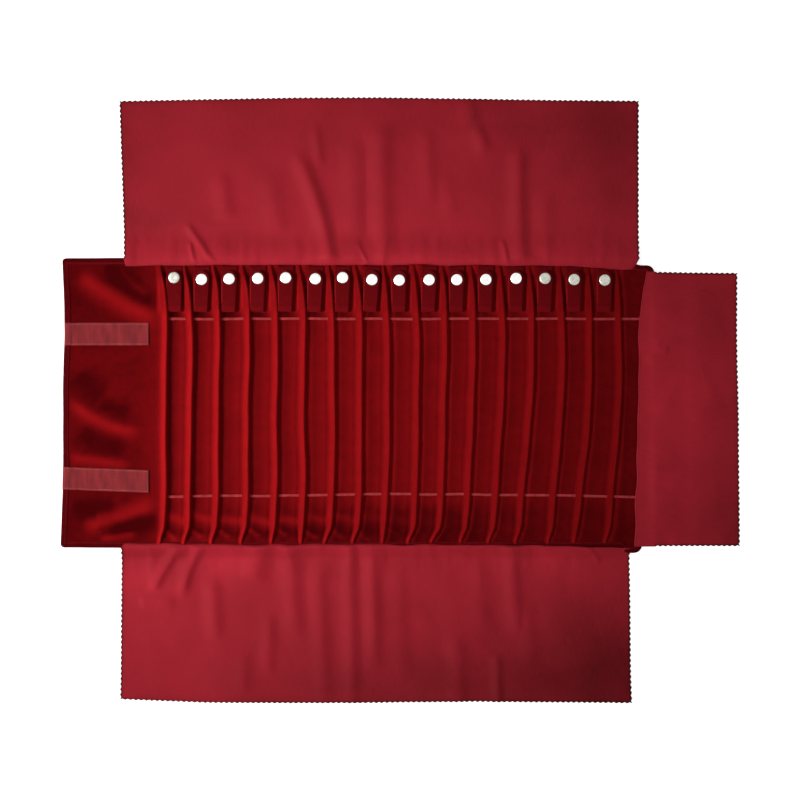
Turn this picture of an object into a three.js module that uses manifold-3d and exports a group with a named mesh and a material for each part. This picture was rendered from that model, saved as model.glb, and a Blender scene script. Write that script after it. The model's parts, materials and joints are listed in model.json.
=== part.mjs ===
// Jewelry roll lying open: a pleated velvet panel with sixteen snap tabs, and three cover flaps.
// Millimetres, +Z up. The origin is below the middle of the opened roll, on its underside.
// +X runs along the roll from the closure end to the side flap, +Y towards the top flap.

import * as THREE from 'three';
import { mergeVertices } from 'three/addons/utils/BufferGeometryUtils.js';
import Module from 'manifold-3d';

const wasm = await Module();
wasm.setup();

// Gap between pieces that rest on or fit into each other
const SEAT_GAP = 0.3;

// Body: the outer cover is turned up round the edge as a hem
const BODY_LENGTH = 528;
const BODY_WIDTH = 258;
const BODY_CORNER_RADIUS = 5;
const HEM_WIDTH = 4;
const HEM_ROUNDING = 1;
const COVER_THICKNESS = 1.6;
const PADDING_THICKNESS = 1.4;
const VELVET_THICKNESS = 1;

// Pleats between the lanes, bowed slightly towards the closure end at top and bottom
const PLEAT_COUNT = 17;
const FIRST_PLEAT_OFFSET = 91.2;
const LAST_PLEAT_OFFSET = 32.8;
const LANE_PITCH_GROWTH = 0.1;
const PLEAT_THICKNESS = 6;
const PLEAT_HEIGHT = 6.4;
const PLEAT_CREST_WIDTH = 2.8;
const PLEAT_SHOULDER_DROP = 1.7;
const PLEAT_FOOT_FLARE = 0.6;
const PLEAT_END_HEIGHT = 2.4;
const PLEAT_TAPER_LENGTH = 11;
const PLEAT_SECTIONS = 4;
const PLEAT_STRAIGHT_DROP = 78;
const PLEAT_BOW_TOP = 3.5;
const PLEAT_BOW_BOTTOM = 5;
const PLEAT_BOW_GROWTH = 0.4;

// Elastic bands that cross the lanes and pass through the feet of the pleats
const ELASTIC_WIDTH = 2.5;
const ELASTIC_THICKNESS = 0.8;
const ELASTIC_END_IN_PLEAT = 2;
const ELASTIC_OVERRUN = 17.5;
const UPPER_ELASTIC_DROP = 54.2;
const LOWER_ELASTIC_RISE = 45.8;
const TUNNEL_SILL = 0.1;

// Snap tabs: each strap is folded, its rear leaf sewn to the panel
const STRAP_WIDTH = 13;
const STRAP_THICKNESS = 0.8;
const STRAP_LENGTH = 35;
const TAB_FOLD_DROP = 46.3;
const TAB_SEAM_DROP = 8.3;
const REAR_LEAF_INLAY = 0.5;
const SNAP_FROM_END = 7.4;
const CAP_RADIUS = 5;
const CAP_RIM_HEIGHT = 0.3;
const CAP_CROWN_HEIGHT = 0.6;
const CAP_SHOULDER_INSET = 1.6;
const SHANK_RADIUS = 2.6;
const SOCKET_RADIUS = 4.5;
const SOCKET_THICKNESS = 1;
const STUD_FLANGE_RADIUS = 4.5;
const STUD_FLANGE_THICKNESS = 0.4;
const STUD_POST_RADIUS = 1.75;
const STUD_NECK_RADIUS = 1.4;
const STUD_POST_HEIGHT = 1.2;

// Closure tape: two hook strips inside, two loop strips let into the underside
const TAPE_LENGTH = 75;
const TAPE_WIDTH = 20;
const TAPE_THICKNESS = 0.8;
const HOOK_STRIP_INSET = 4.6;
const UPPER_TAPE_DROP = 67.6;
const LOWER_TAPE_RISE = 60.9;
const LOOP_STRIP_OFFSET = 254;

// Cover flaps with pinked free edges, sewn on along the body's edges
const FLAP_THICKNESS = 0.8;
const TOP_FLAP_WIDTH = 460;
const TOP_FLAP_LENGTH = 142.4;
const TOP_FLAP_INSET = 53.3;
const BOTTOM_FLAP_WIDTH = 454;
const BOTTOM_FLAP_LENGTH = 137;
const BOTTOM_FLAP_INSET = 52.4;
const SIDE_FLAP_WIDTH = 244;
const SIDE_FLAP_LENGTH = 74;
const SIDE_FLAP_INSET = 1.3;
const TOOTH_PITCH = 4.9;
const TOOTH_DEPTH = 2;

// How finely round shapes are faceted
const CORNER_STEPS = 2;
const FOLD_STEPS = 3;
const STRAP_END_STEPS = 4;
const SNAP_SIDES = 12;
const STUD_SIDES = 10;

// Places worked out from the sizes above
const overallLength = BODY_LENGTH + SEAT_GAP + SIDE_FLAP_LENGTH;
const overallWidth = BODY_WIDTH + 2 * SEAT_GAP + TOP_FLAP_LENGTH + BOTTOM_FLAP_LENGTH;
const bodyLeft = -overallLength / 2;
const bodyRight = bodyLeft + BODY_LENGTH;
const bodyBottom = -overallWidth / 2 + BOTTOM_FLAP_LENGTH + SEAT_GAP;
const bodyTop = bodyBottom + BODY_WIDTH;
const panelInset = HEM_WIDTH + SEAT_GAP;
const panelLeft = bodyLeft + panelInset;
const panelRight = bodyRight - panelInset;
const panelBottom = bodyBottom + panelInset;
const panelTop = bodyTop - panelInset;

// Heights of the body's layers
const paddingBottom = COVER_THICKNESS + SEAT_GAP;
const velvetBottom = paddingBottom + PADDING_THICKNESS + SEAT_GAP;
const floorZ = velvetBottom + VELVET_THICKNESS;
const elasticBottom = floorZ + TUNNEL_SILL + SEAT_GAP;
const elasticTop = elasticBottom + ELASTIC_THICKNESS;

// Heights of a closed snap tab, from its rear leaf up to the crown of its cap
const rearLeafTop = floorZ + STRAP_THICKNESS;
const studBottom = rearLeafTop + SEAT_GAP;
const studFlangeTop = studBottom + STUD_FLANGE_THICKNESS;
const studTop = studFlangeTop + STUD_POST_HEIGHT;
const socketBottom = studFlangeTop + SEAT_GAP;
const socketTop = socketBottom + SOCKET_THICKNESS;
const boreTop = studTop + SEAT_GAP;
const strapBottom = socketTop + SEAT_GAP;
const strapTop = strapBottom + STRAP_THICKNESS;
const capBottom = strapTop + SEAT_GAP;
const capTop = capBottom + CAP_RIM_HEIGHT + CAP_CROWN_HEIGHT;

// The fold's axis lets the cap of an opened tab clear the lane's floor
const tabAxisZ = (capTop + floorZ + SEAT_GAP) / 2;
const tabAxisY = bodyTop - TAB_FOLD_DROP;
const strapEndY = tabAxisY + STRAP_LENGTH;
const snapY = strapEndY - SNAP_FROM_END;

const finish = (color, roughness, metalness = 0) =>
  new THREE.MeshStandardMaterial({ color, roughness, metalness });
const velvet = finish(0x720a11, 0.95);
const flapCloth = finish(0x96222d, 0.6);
const coverCloth = finish(0x7c1a24, 0.7);
const wadding = finish(0xd9d2c8, 0.95);
const elasticWeave = finish(0xa23c40, 0.8);
const tape = finish(0x8c2d35, 0.85);
const snapMetal = finish(0xd5d6d0, 0.25, 1);

// Closed triangle mesh as a solid that can be joined and cut
function toSolid(geometry) {
  const bare = geometry.clone();
  bare.deleteAttribute('normal');
  bare.deleteAttribute('uv');
  const merged = mergeVertices(bare);
  const vertProperties = new Float32Array(merged.attributes.position.array);
  const triVerts = new Uint32Array(merged.index.array);
  return new wasm.Manifold(new wasm.Mesh({ numProp: 3, vertProperties, triVerts }));
}

function toGeometry(solid) {
  const { vertProperties, triVerts } = solid.getMesh();
  const geometry = new THREE.BufferGeometry();
  geometry.setAttribute('position', new THREE.BufferAttribute(vertProperties, 3));
  geometry.setIndex(new THREE.BufferAttribute(triVerts, 1));
  geometry.computeVertexNormals();
  return geometry;
}

// Box between two corners
function boxBetween([x0, y0, z0], [x1, y1, z1]) {
  const box = new THREE.BoxGeometry(x1 - x0, y1 - y0, z1 - z0);
  return box.translate((x0 + x1) / 2, (y0 + y1) / 2, (z0 + z1) / 2);
}

// Profile of radius and height, turned about Z
function turned(profile, sides) {
  const points = profile.map(([radius, height]) => new THREE.Vector2(radius, height));
  return new THREE.LatheGeometry(points, sides).rotateX(Math.PI / 2);
}

function roundedRectangle(x0, y0, x1, y1, radius) {
  const shape = new THREE.Shape();
  shape.absarc(x1 - radius, y1 - radius, radius, 0, Math.PI / 2);
  shape.absarc(x0 + radius, y1 - radius, radius, Math.PI / 2, Math.PI);
  shape.absarc(x0 + radius, y0 + radius, radius, Math.PI, 1.5 * Math.PI);
  shape.absarc(x1 - radius, y0 + radius, radius, 1.5 * Math.PI, 2 * Math.PI);
  return shape;
}

// How much wider the lanes before a pleat are than as many lanes of the first one's width
function laneGrowth(index) {
  return (LANE_PITCH_GROWTH * index * (index - 1)) / 2;
}

// The lanes share the body's length between the first and the last pleat
const laneCount = PLEAT_COUNT - 1;
const pleatedLength = BODY_LENGTH - FIRST_PLEAT_OFFSET - LAST_PLEAT_OFFSET;
const firstLanePitch = (pleatedLength - laneGrowth(laneCount)) / laneCount;

function pleatX(index) {
  return bodyLeft + FIRST_PLEAT_OFFSET + index * firstLanePitch + laneGrowth(index);
}

// Sideways shift of a pleat, nothing at the straight line and most at its ends
function pleatBow(index, y) {
  const below = bodyTop - PLEAT_STRAIGHT_DROP - y;
  if (below < 0) {
    return -PLEAT_BOW_TOP * (below / PLEAT_STRAIGHT_DROP) ** 2;
  }
  const most = PLEAT_BOW_BOTTOM + PLEAT_BOW_GROWTH * index;
  return -most * (below / (BODY_WIDTH - PLEAT_STRAIGHT_DROP)) ** 2;
}

function tabX(index) {
  const laneMiddle = (pleatX(index) + pleatX(index + 1)) / 2;
  return laneMiddle + pleatBow(index, (tabAxisY + strapEndY) / 2);
}

// Half a pleat's section from foot to crest: distance from its middle, height over the floor
function pleatFlank(height) {
  const half = PLEAT_THICKNESS / 2;
  return [
    [half + PLEAT_FOOT_FLARE, 0],
    [half, height - PLEAT_SHOULDER_DROP],
    [PLEAT_CREST_WIDTH / 2, height],
  ];
}

// Stations along the pleats from the top end to the bottom end, low at both ends
function pleatStations() {
  const stations = [{ y: panelTop, height: PLEAT_END_HEIGHT }];
  const first = panelTop - PLEAT_TAPER_LENGTH;
  const last = panelBottom + PLEAT_TAPER_LENGTH;
  for (let k = 0; k <= PLEAT_SECTIONS; k += 1) {
    stations.push({ y: first + ((last - first) * k) / PLEAT_SECTIONS, height: PLEAT_HEIGHT });
  }
  stations.push({ y: panelBottom, height: PLEAT_END_HEIGHT });
  return stations;
}

// Outline of the panel's upper face at one station, as x and z from left to right
function panelSection({ y, height }) {
  const flank = pleatFlank(height);
  const section = [[panelLeft, floorZ]];
  for (let index = 0; index < PLEAT_COUNT; index += 1) {
    const middle = pleatX(index) + pleatBow(index, y);
    flank.forEach(([side, rise]) => section.push([middle - side, floorZ + rise]));
    flank.toReversed().forEach(([side, rise]) => section.push([middle + side, floorZ + rise]));
  }
  section.push([panelRight, floorZ]);
  return section;
}

// Closed sheet with a pleated upper face and a flat underside
function pleatedSheet() {
  const stations = pleatStations();
  const sections = stations.map(panelSection);
  const columns = sections[0].length;
  const lastRow = stations.length - 1;
  const positions = [];
  const triangles = [];
  sections.forEach((section, row) => {
    section.forEach(([x, z]) => positions.push(x, stations[row].y, z));
  });
  const at = (row, column) => row * columns + column;
  for (let row = 0; row < lastRow; row += 1) {
    for (let column = 0; column < columns - 1; column += 1) {
      const corners = [at(row, column), at(row + 1, column)];
      corners.push(at(row + 1, column + 1), at(row, column + 1));
      triangles.push(corners[0], corners[1], corners[2], corners[0], corners[2], corners[3]);
    }
  }
  const backLeft = positions.length / 3;
  const backRight = backLeft + 1;
  const frontRight = backLeft + 2;
  const frontLeft = backLeft + 3;
  positions.push(panelLeft, panelTop, velvetBottom, panelRight, panelTop, velvetBottom);
  positions.push(panelRight, panelBottom, velvetBottom, panelLeft, panelBottom, velvetBottom);
  triangles.push(backLeft, backRight, frontRight, backLeft, frontRight, frontLeft);

  // Side walls
  for (let row = 0; row < lastRow; row += 1) {
    triangles.push(frontLeft, at(row + 1, 0), at(row, 0));
    triangles.push(frontRight, at(row, columns - 1), at(row + 1, columns - 1));
  }
  triangles.push(frontLeft, at(0, 0), backLeft);
  triangles.push(frontRight, backRight, at(0, columns - 1));

  // End walls
  const endWall = (row, left, right, flip) => {
    const ring = [left, right];
    const outline = [new THREE.Vector2(panelLeft, velvetBottom)];
    outline.push(new THREE.Vector2(panelRight, velvetBottom));
    for (let column = columns - 1; column >= 0; column -= 1) {
      ring.push(at(row, column));
      outline.push(new THREE.Vector2(...sections[row][column]));
    }
    THREE.ShapeUtils.triangulateShape(outline, []).forEach(([a, b, c]) => {
      const corners = flip ? [a, c, b] : [a, b, c];
      corners.forEach((corner) => triangles.push(ring[corner]));
    });
  };
  endWall(lastRow, frontLeft, frontRight, false);
  endWall(0, backLeft, backRight, true);

  const geometry = new THREE.BufferGeometry();
  geometry.setAttribute('position', new THREE.Float32BufferAttribute(positions, 3));
  geometry.setIndex(triangles);
  return geometry;
}

const elasticLeft = pleatX(0) - ELASTIC_END_IN_PLEAT;
const elasticRight = pleatX(laneCount) + ELASTIC_OVERRUN;
const upperElasticY = bodyTop - UPPER_ELASTIC_DROP;
const lowerElasticY = bodyBottom + LOWER_ELASTIC_RISE;

// Band at one height up the panel, grown on every side by a margin
function elasticBand(y, margin) {
  const half = ELASTIC_WIDTH / 2 + margin;
  return boxBetween(
    [elasticLeft - margin, y - half, elasticBottom - margin],
    [elasticRight + margin, y + half, elasticTop + margin],
  );
}

// Velvet panel with the sewn rear leaves of the tabs and a tunnel for each elastic
function velvetPanel() {
  let panel = toSolid(pleatedSheet());
  for (let index = 0; index < laneCount; index += 1) {
    const left = tabX(index) - STRAP_WIDTH / 2;
    const leaf = boxBetween(
      [left, tabAxisY, floorZ - REAR_LEAF_INLAY],
      [left + STRAP_WIDTH, bodyTop - TAB_SEAM_DROP, rearLeafTop],
    );
    panel = panel.add(toSolid(leaf));
  }
  [upperElasticY, lowerElasticY].forEach((y) => {
    panel = panel.subtract(toSolid(elasticBand(y, SEAT_GAP)));
  });
  return toGeometry(panel);
}

const tapeHeights = {
  upper: bodyTop - UPPER_TAPE_DROP,
  lower: bodyBottom + LOWER_TAPE_RISE,
};

// Length of tape from its left end, centred on a height up the panel
function tapeStrip(left, y, bottom, margin = 0) {
  const half = TAPE_WIDTH / 2 + margin;
  return boxBetween(
    [left - margin, y - half, bottom - margin],
    [left + TAPE_LENGTH + margin, y + half, bottom + TAPE_THICKNESS + margin],
  );
}

const hookStripLeft = bodyLeft + HOOK_STRIP_INSET;
const loopStripLeft = bodyLeft + LOOP_STRIP_OFFSET;

// Outer cover with its turned hem, hollow for the padding and the panel
function outerCover() {
  const outline = roundedRectangle(bodyLeft, bodyBottom, bodyRight, bodyTop, BODY_CORNER_RADIUS);
  const block = new THREE.ExtrudeGeometry(outline, {
    depth: floorZ - 2 * HEM_ROUNDING,
    curveSegments: CORNER_STEPS,
    bevelThickness: HEM_ROUNDING,
    bevelSize: HEM_ROUNDING,
    bevelOffset: -HEM_ROUNDING,
    bevelSegments: 2,
  });
  block.translate(0, 0, HEM_ROUNDING);
  const hollow = boxBetween(
    [bodyLeft + HEM_WIDTH, bodyBottom + HEM_WIDTH, COVER_THICKNESS],
    [bodyRight - HEM_WIDTH, bodyTop - HEM_WIDTH, floorZ + COVER_THICKNESS],
  );
  let cover = toSolid(block).subtract(toSolid(hollow));
  Object.values(tapeHeights).forEach((y) => {
    cover = cover.subtract(toSolid(tapeStrip(loopStripLeft, y, 0, SEAT_GAP)));
  });
  return toGeometry(cover);
}

function padding() {
  return boxBetween(
    [panelLeft, panelBottom, paddingBottom],
    [panelRight, panelTop, paddingBottom + PADDING_THICKNESS],
  );
}

// Flap lying flat from its root on the X axis, with teeth cut along its three free edges
function pinkedFlap(width, length) {
  const corners = [[width, 0], [width, length], [0, length], [0, 0]];
  const shape = new THREE.Shape();
  shape.moveTo(...corners[0]);
  for (let edge = 0; edge < 3; edge += 1) {
    const [x0, y0] = corners[edge];
    const [x1, y1] = corners[edge + 1];
    const span = Math.hypot(x1 - x0, y1 - y0);
    const along = [(x1 - x0) / span, (y1 - y0) / span];
    const teeth = Math.round(span / TOOTH_PITCH);
    for (let tooth = 0; tooth < teeth; tooth += 1) {
      const notch = ((tooth + 0.5) * span) / teeth;
      const tip = ((tooth + 1) * span) / teeth;
      const notchX = x0 + along[0] * notch - along[1] * TOOTH_DEPTH;
      const notchY = y0 + along[1] * notch + along[0] * TOOTH_DEPTH;
      shape.lineTo(notchX, notchY);
      shape.lineTo(x0 + along[0] * tip, y0 + along[1] * tip);
    }
  }
  return new THREE.ExtrudeGeometry(shape, { depth: FLAP_THICKNESS, bevelEnabled: false });
}

// Strap's front leaf and the curl of its fold, with a round end and a hole for the cap's shank
function tabStrap() {
  const outer = strapTop - tabAxisZ;
  const inner = strapBottom - tabAxisZ;
  const side = new THREE.Shape();
  side.moveTo(strapEndY, strapBottom);
  side.lineTo(strapEndY, strapTop);
  side.absarc(tabAxisY, tabAxisZ, outer, Math.PI / 2, 1.5 * Math.PI);
  side.absarc(tabAxisY, tabAxisZ, inner, 1.5 * Math.PI, Math.PI / 2, true);
  const leaf = new THREE.ExtrudeGeometry(side, {
    depth: STRAP_WIDTH,
    curveSegments: FOLD_STEPS,
    bevelEnabled: false,
  });
  const acrossX = new THREE.Vector3(0, 1, 0);
  const upwards = new THREE.Vector3(0, 0, 1);
  const alongX = new THREE.Vector3(1, 0, 0);
  leaf.applyMatrix4(new THREE.Matrix4().makeBasis(acrossX, upwards, alongX));
  leaf.translate(-STRAP_WIDTH / 2, 0, 0);

  const half = STRAP_WIDTH / 2;
  const plan = new THREE.Shape();
  plan.moveTo(-STRAP_WIDTH, tabAxisY - STRAP_WIDTH);
  plan.lineTo(STRAP_WIDTH, tabAxisY - STRAP_WIDTH);
  plan.lineTo(STRAP_WIDTH, strapEndY - half);
  plan.lineTo(half, strapEndY - half);
  plan.absarc(0, strapEndY - half, half, 0, Math.PI);
  plan.lineTo(-STRAP_WIDTH, strapEndY - half);
  const hole = new THREE.Path();
  hole.absarc(0, snapY, SHANK_RADIUS + SEAT_GAP, 0, 2 * Math.PI);
  plan.holes.push(hole);
  const cutter = new THREE.ExtrudeGeometry(plan, {
    depth: strapTop + STRAP_THICKNESS,
    curveSegments: STRAP_END_STEPS,
    bevelEnabled: false,
  });
  return toGeometry(toSolid(leaf).intersect(toSolid(cutter)));
}

// Snap's cap, its shank through the strap and the socket below
function snapCap() {
  const boreRadius = STUD_POST_RADIUS + SEAT_GAP;
  return turned([
    [0, boreTop],
    [boreRadius, boreTop],
    [boreRadius, socketBottom],
    [SOCKET_RADIUS, socketBottom],
    [SOCKET_RADIUS, socketTop],
    [SHANK_RADIUS, socketTop],
    [SHANK_RADIUS, capBottom],
    [CAP_RADIUS, capBottom],
    [CAP_RADIUS, capBottom + CAP_RIM_HEIGHT],
    [CAP_RADIUS - CAP_SHOULDER_INSET, capTop],
    [0, capTop],
  ], SNAP_SIDES);
}

// Snap's stud, riveted to the rear leaf
function snapStud() {
  return turned([
    [0, studBottom],
    [STUD_FLANGE_RADIUS, studBottom],
    [STUD_FLANGE_RADIUS, studFlangeTop],
    [STUD_NECK_RADIUS, studFlangeTop],
    [STUD_POST_RADIUS, (studFlangeTop + studTop) / 2],
    [STUD_NECK_RADIUS, studTop],
    [0, studTop],
  ], STUD_SIDES);
}

const roll = new THREE.Group();

function addPiece(name, geometry, material) {
  const piece = new THREE.Mesh(geometry, material);
  piece.name = name;
  roll.add(piece);
  return piece;
}

addPiece('outer_cover', outerCover(), coverCloth);
addPiece('padding', padding(), wadding);
addPiece('velvet_panel', velvetPanel(), velvet);
addPiece('upper_elastic', elasticBand(upperElasticY, 0), elasticWeave);
addPiece('lower_elastic', elasticBand(lowerElasticY, 0), elasticWeave);

Object.entries(tapeHeights).forEach(([place, y]) => {
  addPiece(`${place}_hook_strip`, tapeStrip(hookStripLeft, y, floorZ + SEAT_GAP), tape);
  addPiece(`${place}_loop_strip`, tapeStrip(loopStripLeft, y, 0), tape);
});

const topFlap = addPiece('top_flap', pinkedFlap(TOP_FLAP_WIDTH, TOP_FLAP_LENGTH), flapCloth);
topFlap.position.set(bodyLeft + TOP_FLAP_INSET, bodyTop + SEAT_GAP, 0);

const bottomFlap = addPiece('bottom_flap', pinkedFlap(BOTTOM_FLAP_WIDTH, BOTTOM_FLAP_LENGTH), flapCloth);
bottomFlap.rotation.z = Math.PI;
const bottomFlapRight = bodyLeft + BOTTOM_FLAP_INSET + BOTTOM_FLAP_WIDTH;
bottomFlap.position.set(bottomFlapRight, bodyBottom - SEAT_GAP, 0);

const sideFlap = addPiece('side_flap', pinkedFlap(SIDE_FLAP_WIDTH, SIDE_FLAP_LENGTH), flapCloth);
sideFlap.rotation.z = -Math.PI / 2;
sideFlap.position.set(bodyRight + SEAT_GAP, bodyBottom + SIDE_FLAP_INSET + SIDE_FLAP_WIDTH, 0);

const strapGeometry = tabStrap();
const capGeometry = snapCap();
const studGeometry = snapStud();
for (let index = 0; index < laneCount; index += 1) {
  const tab = `tab_${String(index + 1).padStart(2, '0')}`;
  addPiece(`${tab}_strap`, strapGeometry, velvet).position.x = tabX(index);
  addPiece(`${tab}_cap`, capGeometry, snapMetal).position.set(tabX(index), snapY, 0);
  addPiece(`${tab}_stud`, studGeometry, snapMetal).position.set(tabX(index), snapY, 0);
}

export default roll;
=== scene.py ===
"""Velvet jewelry roll lying open on a pale table, seen from straight above."""

import json
import math
from types import SimpleNamespace

import bpy
import numpy as np
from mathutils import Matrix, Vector


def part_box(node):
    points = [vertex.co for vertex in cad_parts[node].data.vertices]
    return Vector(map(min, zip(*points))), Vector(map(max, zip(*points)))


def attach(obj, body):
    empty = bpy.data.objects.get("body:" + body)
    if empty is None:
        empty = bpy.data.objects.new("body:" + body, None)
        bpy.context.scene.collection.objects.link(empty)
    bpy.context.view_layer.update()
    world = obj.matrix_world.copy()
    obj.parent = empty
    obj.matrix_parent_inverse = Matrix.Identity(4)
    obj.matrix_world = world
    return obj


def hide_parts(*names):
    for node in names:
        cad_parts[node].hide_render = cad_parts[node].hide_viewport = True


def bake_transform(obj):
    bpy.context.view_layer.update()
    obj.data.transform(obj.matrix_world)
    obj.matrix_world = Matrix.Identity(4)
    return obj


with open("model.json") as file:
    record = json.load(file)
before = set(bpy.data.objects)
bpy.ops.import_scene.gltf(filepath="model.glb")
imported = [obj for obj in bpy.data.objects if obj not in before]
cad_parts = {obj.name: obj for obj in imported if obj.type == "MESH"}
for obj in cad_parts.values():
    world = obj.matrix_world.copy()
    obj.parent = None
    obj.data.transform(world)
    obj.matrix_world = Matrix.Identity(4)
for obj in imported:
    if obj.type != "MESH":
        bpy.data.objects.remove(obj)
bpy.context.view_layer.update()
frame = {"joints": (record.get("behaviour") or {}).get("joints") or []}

MM = 0.001

# Picture: its width in pixels, the real size of a pixel, and the camera's lens and sensor in mm
IMAGE_WIDTH = 800
PIXEL = 0.89 * MM
LENS = 100
SENSOR = 36

# Light: a broad lamp low on the left, a weak fill on the right and a pale room
KEY_PLACE = (-0.90, -0.14, 0.84)
KEY_AIM = (-0.17, 0.0, 0.0)
KEY_SIZE = 0.55
KEY_POWER = 1.55
KEY_SPREAD = math.radians(36)
FILL_PLACE = (0.9, -0.2, 1.2)
FILL_SIZE = 1.2
FILL_POWER = 0.9
ROOM_STRENGTH = 0.29
TABLE_SIZE = 6.0
TABLE_GREY = 0.8
TABLE_GLOW = 0.83
TABLE_SHADE = 0.62

# Unevenness of cloth: number of crossing waves, and shares of the wavelength that is asked for
WAVES = 9
WAVE_SHARES = (0.7, 1.5)

# Folds: straight pieces in a bent line, share of the line over which a fold rises from its ends, its width
# on the side away from the light, the light's slant, and what a fold adds to one that it crosses
FOLD_STEPS = 20
FOLD_FADE = 0.22
FOLD_LEE = 0.55
LIGHT_SLANT = 0.2
FOLD_CROSSING = 0.25

# Body and hem. Here and below, a ripple is a height and a wavelength in mm
HEM_TOP = 5.4 * MM
HEM_SLEEVE = 3.0 * MM
HEM_SLACK = (0.5, 120)
HEM_PUCKERS = (0.15, 40)
HEM_SLACK_FADE = (4, 30)
HEM_FLAT = 2
HEM_LIFT = 0.05
HEM_LIFT_WAVE = 60 * MM
HEM_STITCH_INSET = 4.3 * MM
HEM_STITCH_LIFT = 0.05 * MM
LEFT_CORNER = 3.5 * MM
RIGHT_CORNER = 7.0 * MM
SHARP_CORNER = 0.1 * MM
CORNER_STEPS = 6
OUTLINE_STEP = 6.0 * MM

# Section of the cover from below the edge, over the hem and back inside: inset and height in mm, and how much
# lighter it is painted: darker over the hem, with a painted highlight along its inner lip
HEM_SECTION = (
    (40, 0.3, 0), (5, 0.3, 0), (2.0, 0.4, 0), (0.7, 0.95, 0), (0.1, 1.9, -0.12), (0.0, 2.9, -0.18),
    (0.3, 4.0, -0.18), (1.0, 4.85, -0.18), (2.3, 5.3, -0.16), (4.0, 5.4, -0.1), (5.0, 5.25, 0.2),
    (5.6, 4.95, 0.3), (5.5, 4.65, 0), (4.6, 4.6, 0), (2.2, 4.55, 0), (1.4, 4.0, 0),
    (1.1, 2.6, 0), (1.5, 1.5, 0), (5, 1.2, 0), (40, 1.2, 0),
)
HEM_UPPER_SIDE = slice(5, 12)

# How the body lies out of square: height up its left edge and how far the edge is drawn in, in mm
LEFT_EDGE = ((-126, -1.6), (-94, -0.2), (-58, 0.9), (-5, 0.9), (31, 1.4), (57, 2.5), (84, 2.0), (126, 0.2))
LEFT_END = -240 * MM
RIGHT_END = (196 * MM, 214 * MM)
RIGHT_END_SKEW = -11.5 * MM
RIGHT_END_DROP_TOP = -6.3 * MM
RIGHT_END_DROP_BOTTOM = -4.6 * MM

# Wadding
WADDING_COLUMNS = 90
WADDING_ROWS = 46
WADDING_THICKNESS = 1.1 * MM
WADDING_EDGE = 4 * MM
WADDING_EDGE_DROP = 0.35 * MM
WADDING_LUMPS = 0.08 * MM
WADDING_LUMP_WAVE = 25 * MM

# Velvet panel: its points, its dip into the wadding, and the places where closure end and lanes meet
VELVET_THICKNESS = 0.8 * MM
PANEL_ROWS = 82
FOOT_ROWS = 22
FOOT_TOP = -96 * MM
LEFT_STEPS = 36
LANE_STEPS = 7
RIGHT_STEPS = 12
PANEL_DIP = 0.16 * MM
PANEL_DIP_WAVE = 30 * MM
PANEL_TUCK = 0.3 * MM
PANEL_TUCK_EDGE = (-1.5 * MM, 0.5 * MM)
LANES_START = (-212 * MM, -200 * MM)
CLOSURE_END = (-222 * MM, -206 * MM)
CLOSURE_EDGE = 6 * MM
CLOSURE_SINK = 0.25 * MM
CLOSURE_RIPPLE = (0.2, 45)

# Course of the pleats: a bow from a straight line, a sway, and a hook at either end
PLEAT_STRAIGHT_DROP = 78 * MM
PLEAT_BOW_TOP = 3.5 * MM
PLEAT_BOW_BOTTOM = 5.0 * MM
PLEAT_BOW_GROWTH = 0.4 * MM
PLEAT_SWAY = 0.55 * MM
PLEAT_FINE_SWAY = 0.22 * MM
SWAY_LENGTHS = (24, 40)
FINE_SWAY_LENGTHS = (9, 14)
SWAY_PHASES = (0, 6.3)
PLEAT_HOOK = 2.2 * MM
PLEAT_HOOK_SHARES = (0.3, 1.2)
PLEAT_HOOK_REACH = 16 * MM
PLEAT_TOP_HOOK = 2.6 * MM
PLEAT_TOP_HOOK_REACH = (-4 * MM, 26 * MM)
PLEAT_TOP_HOOK_LOSS = 1.5
PLEAT_DRAPE_CHANGE = (10 * MM, -90 * MM)

# Drape of each pleat in mm sideways: in the middle of the lanes, towards their lower end and at the very end
PLEAT_SHIFTS = (0.8, -1.3, -1.5, 0.2, 0.3, 0.0, 1.2, 0.3, -0.3, 0.6, 0.0, -0.2, 0.2, 0.3, 1.7, 0.8, 0.8)
PLEAT_FOOT_SHIFTS = (
    2.5, 0.1, 0.3, 2.1, 3.9, 3.6, 4.8, 4.6, 3.1, 4.2, 1.1, -0.5, -0.7, -2.8, 0.2, -3.2, -0.2,
)
PLEAT_END_SHIFTS = (
    -2.0, -2.0, -0.9, -0.3, 0, 2.0, -1.8, -0.7, 1.8, -2.2, -3.3, -0.7, -2.7, -1.2, -1.2, 1.3, 0.6,
)

# Height and width of the pleats: lower at their ends and towards the right, slimmer at their ends
PLEAT_END_SHARE = 0.22
PLEAT_TAPER = 15 * MM
PLEAT_FOOT_TAPER = (-4 * MM, 9 * MM)
PLEAT_COVERED = 5 * MM
PLEAT_COVERED_FROM = 0.7
PLEAT_LOWER = 0.48
PLEAT_FULLNESS = 0.93
PLEAT_WAVE = 0.05
PLEAT_WAVE_LENGTHS = (15, 30)
PLEAT_SLIM = 0.48
PLEAT_FULL_TOP = (0, 38 * MM)
PLEAT_FULL_FOOT = (-6 * MM, 24 * MM)

# Section of a pleat: millimetres from its line, share of its height, and painted highlight, strongest just
# right of its line
PLEAT_SECTION = (
    (-5.8, 0.03, 0.02), (-4.4, 0.10, 0.06), (-3.5, 0.24, 0.14), (-2.8, 0.45, 0.24), (-2.0, 0.68, 0.30),
    (-1.1, 0.87, 0.33), (0.0, 0.97, 0.38), (1.0, 1.0, 0.56), (1.9, 0.95, 0.54), (2.6, 0.82, 0.32),
    (3.0, 0.62, 0.18), (3.1, 0.40, 0.12), (3.1, 0.20, 0.10), (3.4, 0.06, 0.08), (4.4, 0.0, 0.04),
)
# Ranges in mm from the pleat's line where painted light lifts the shadow beside a strap, and the pleat's own
# shadow on its right
PLEAT_STRAP_SHADOW_SIDE = (-4.5, -2)
PLEAT_SHADOW_SIDE = (2.4, 3.2)
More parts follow.
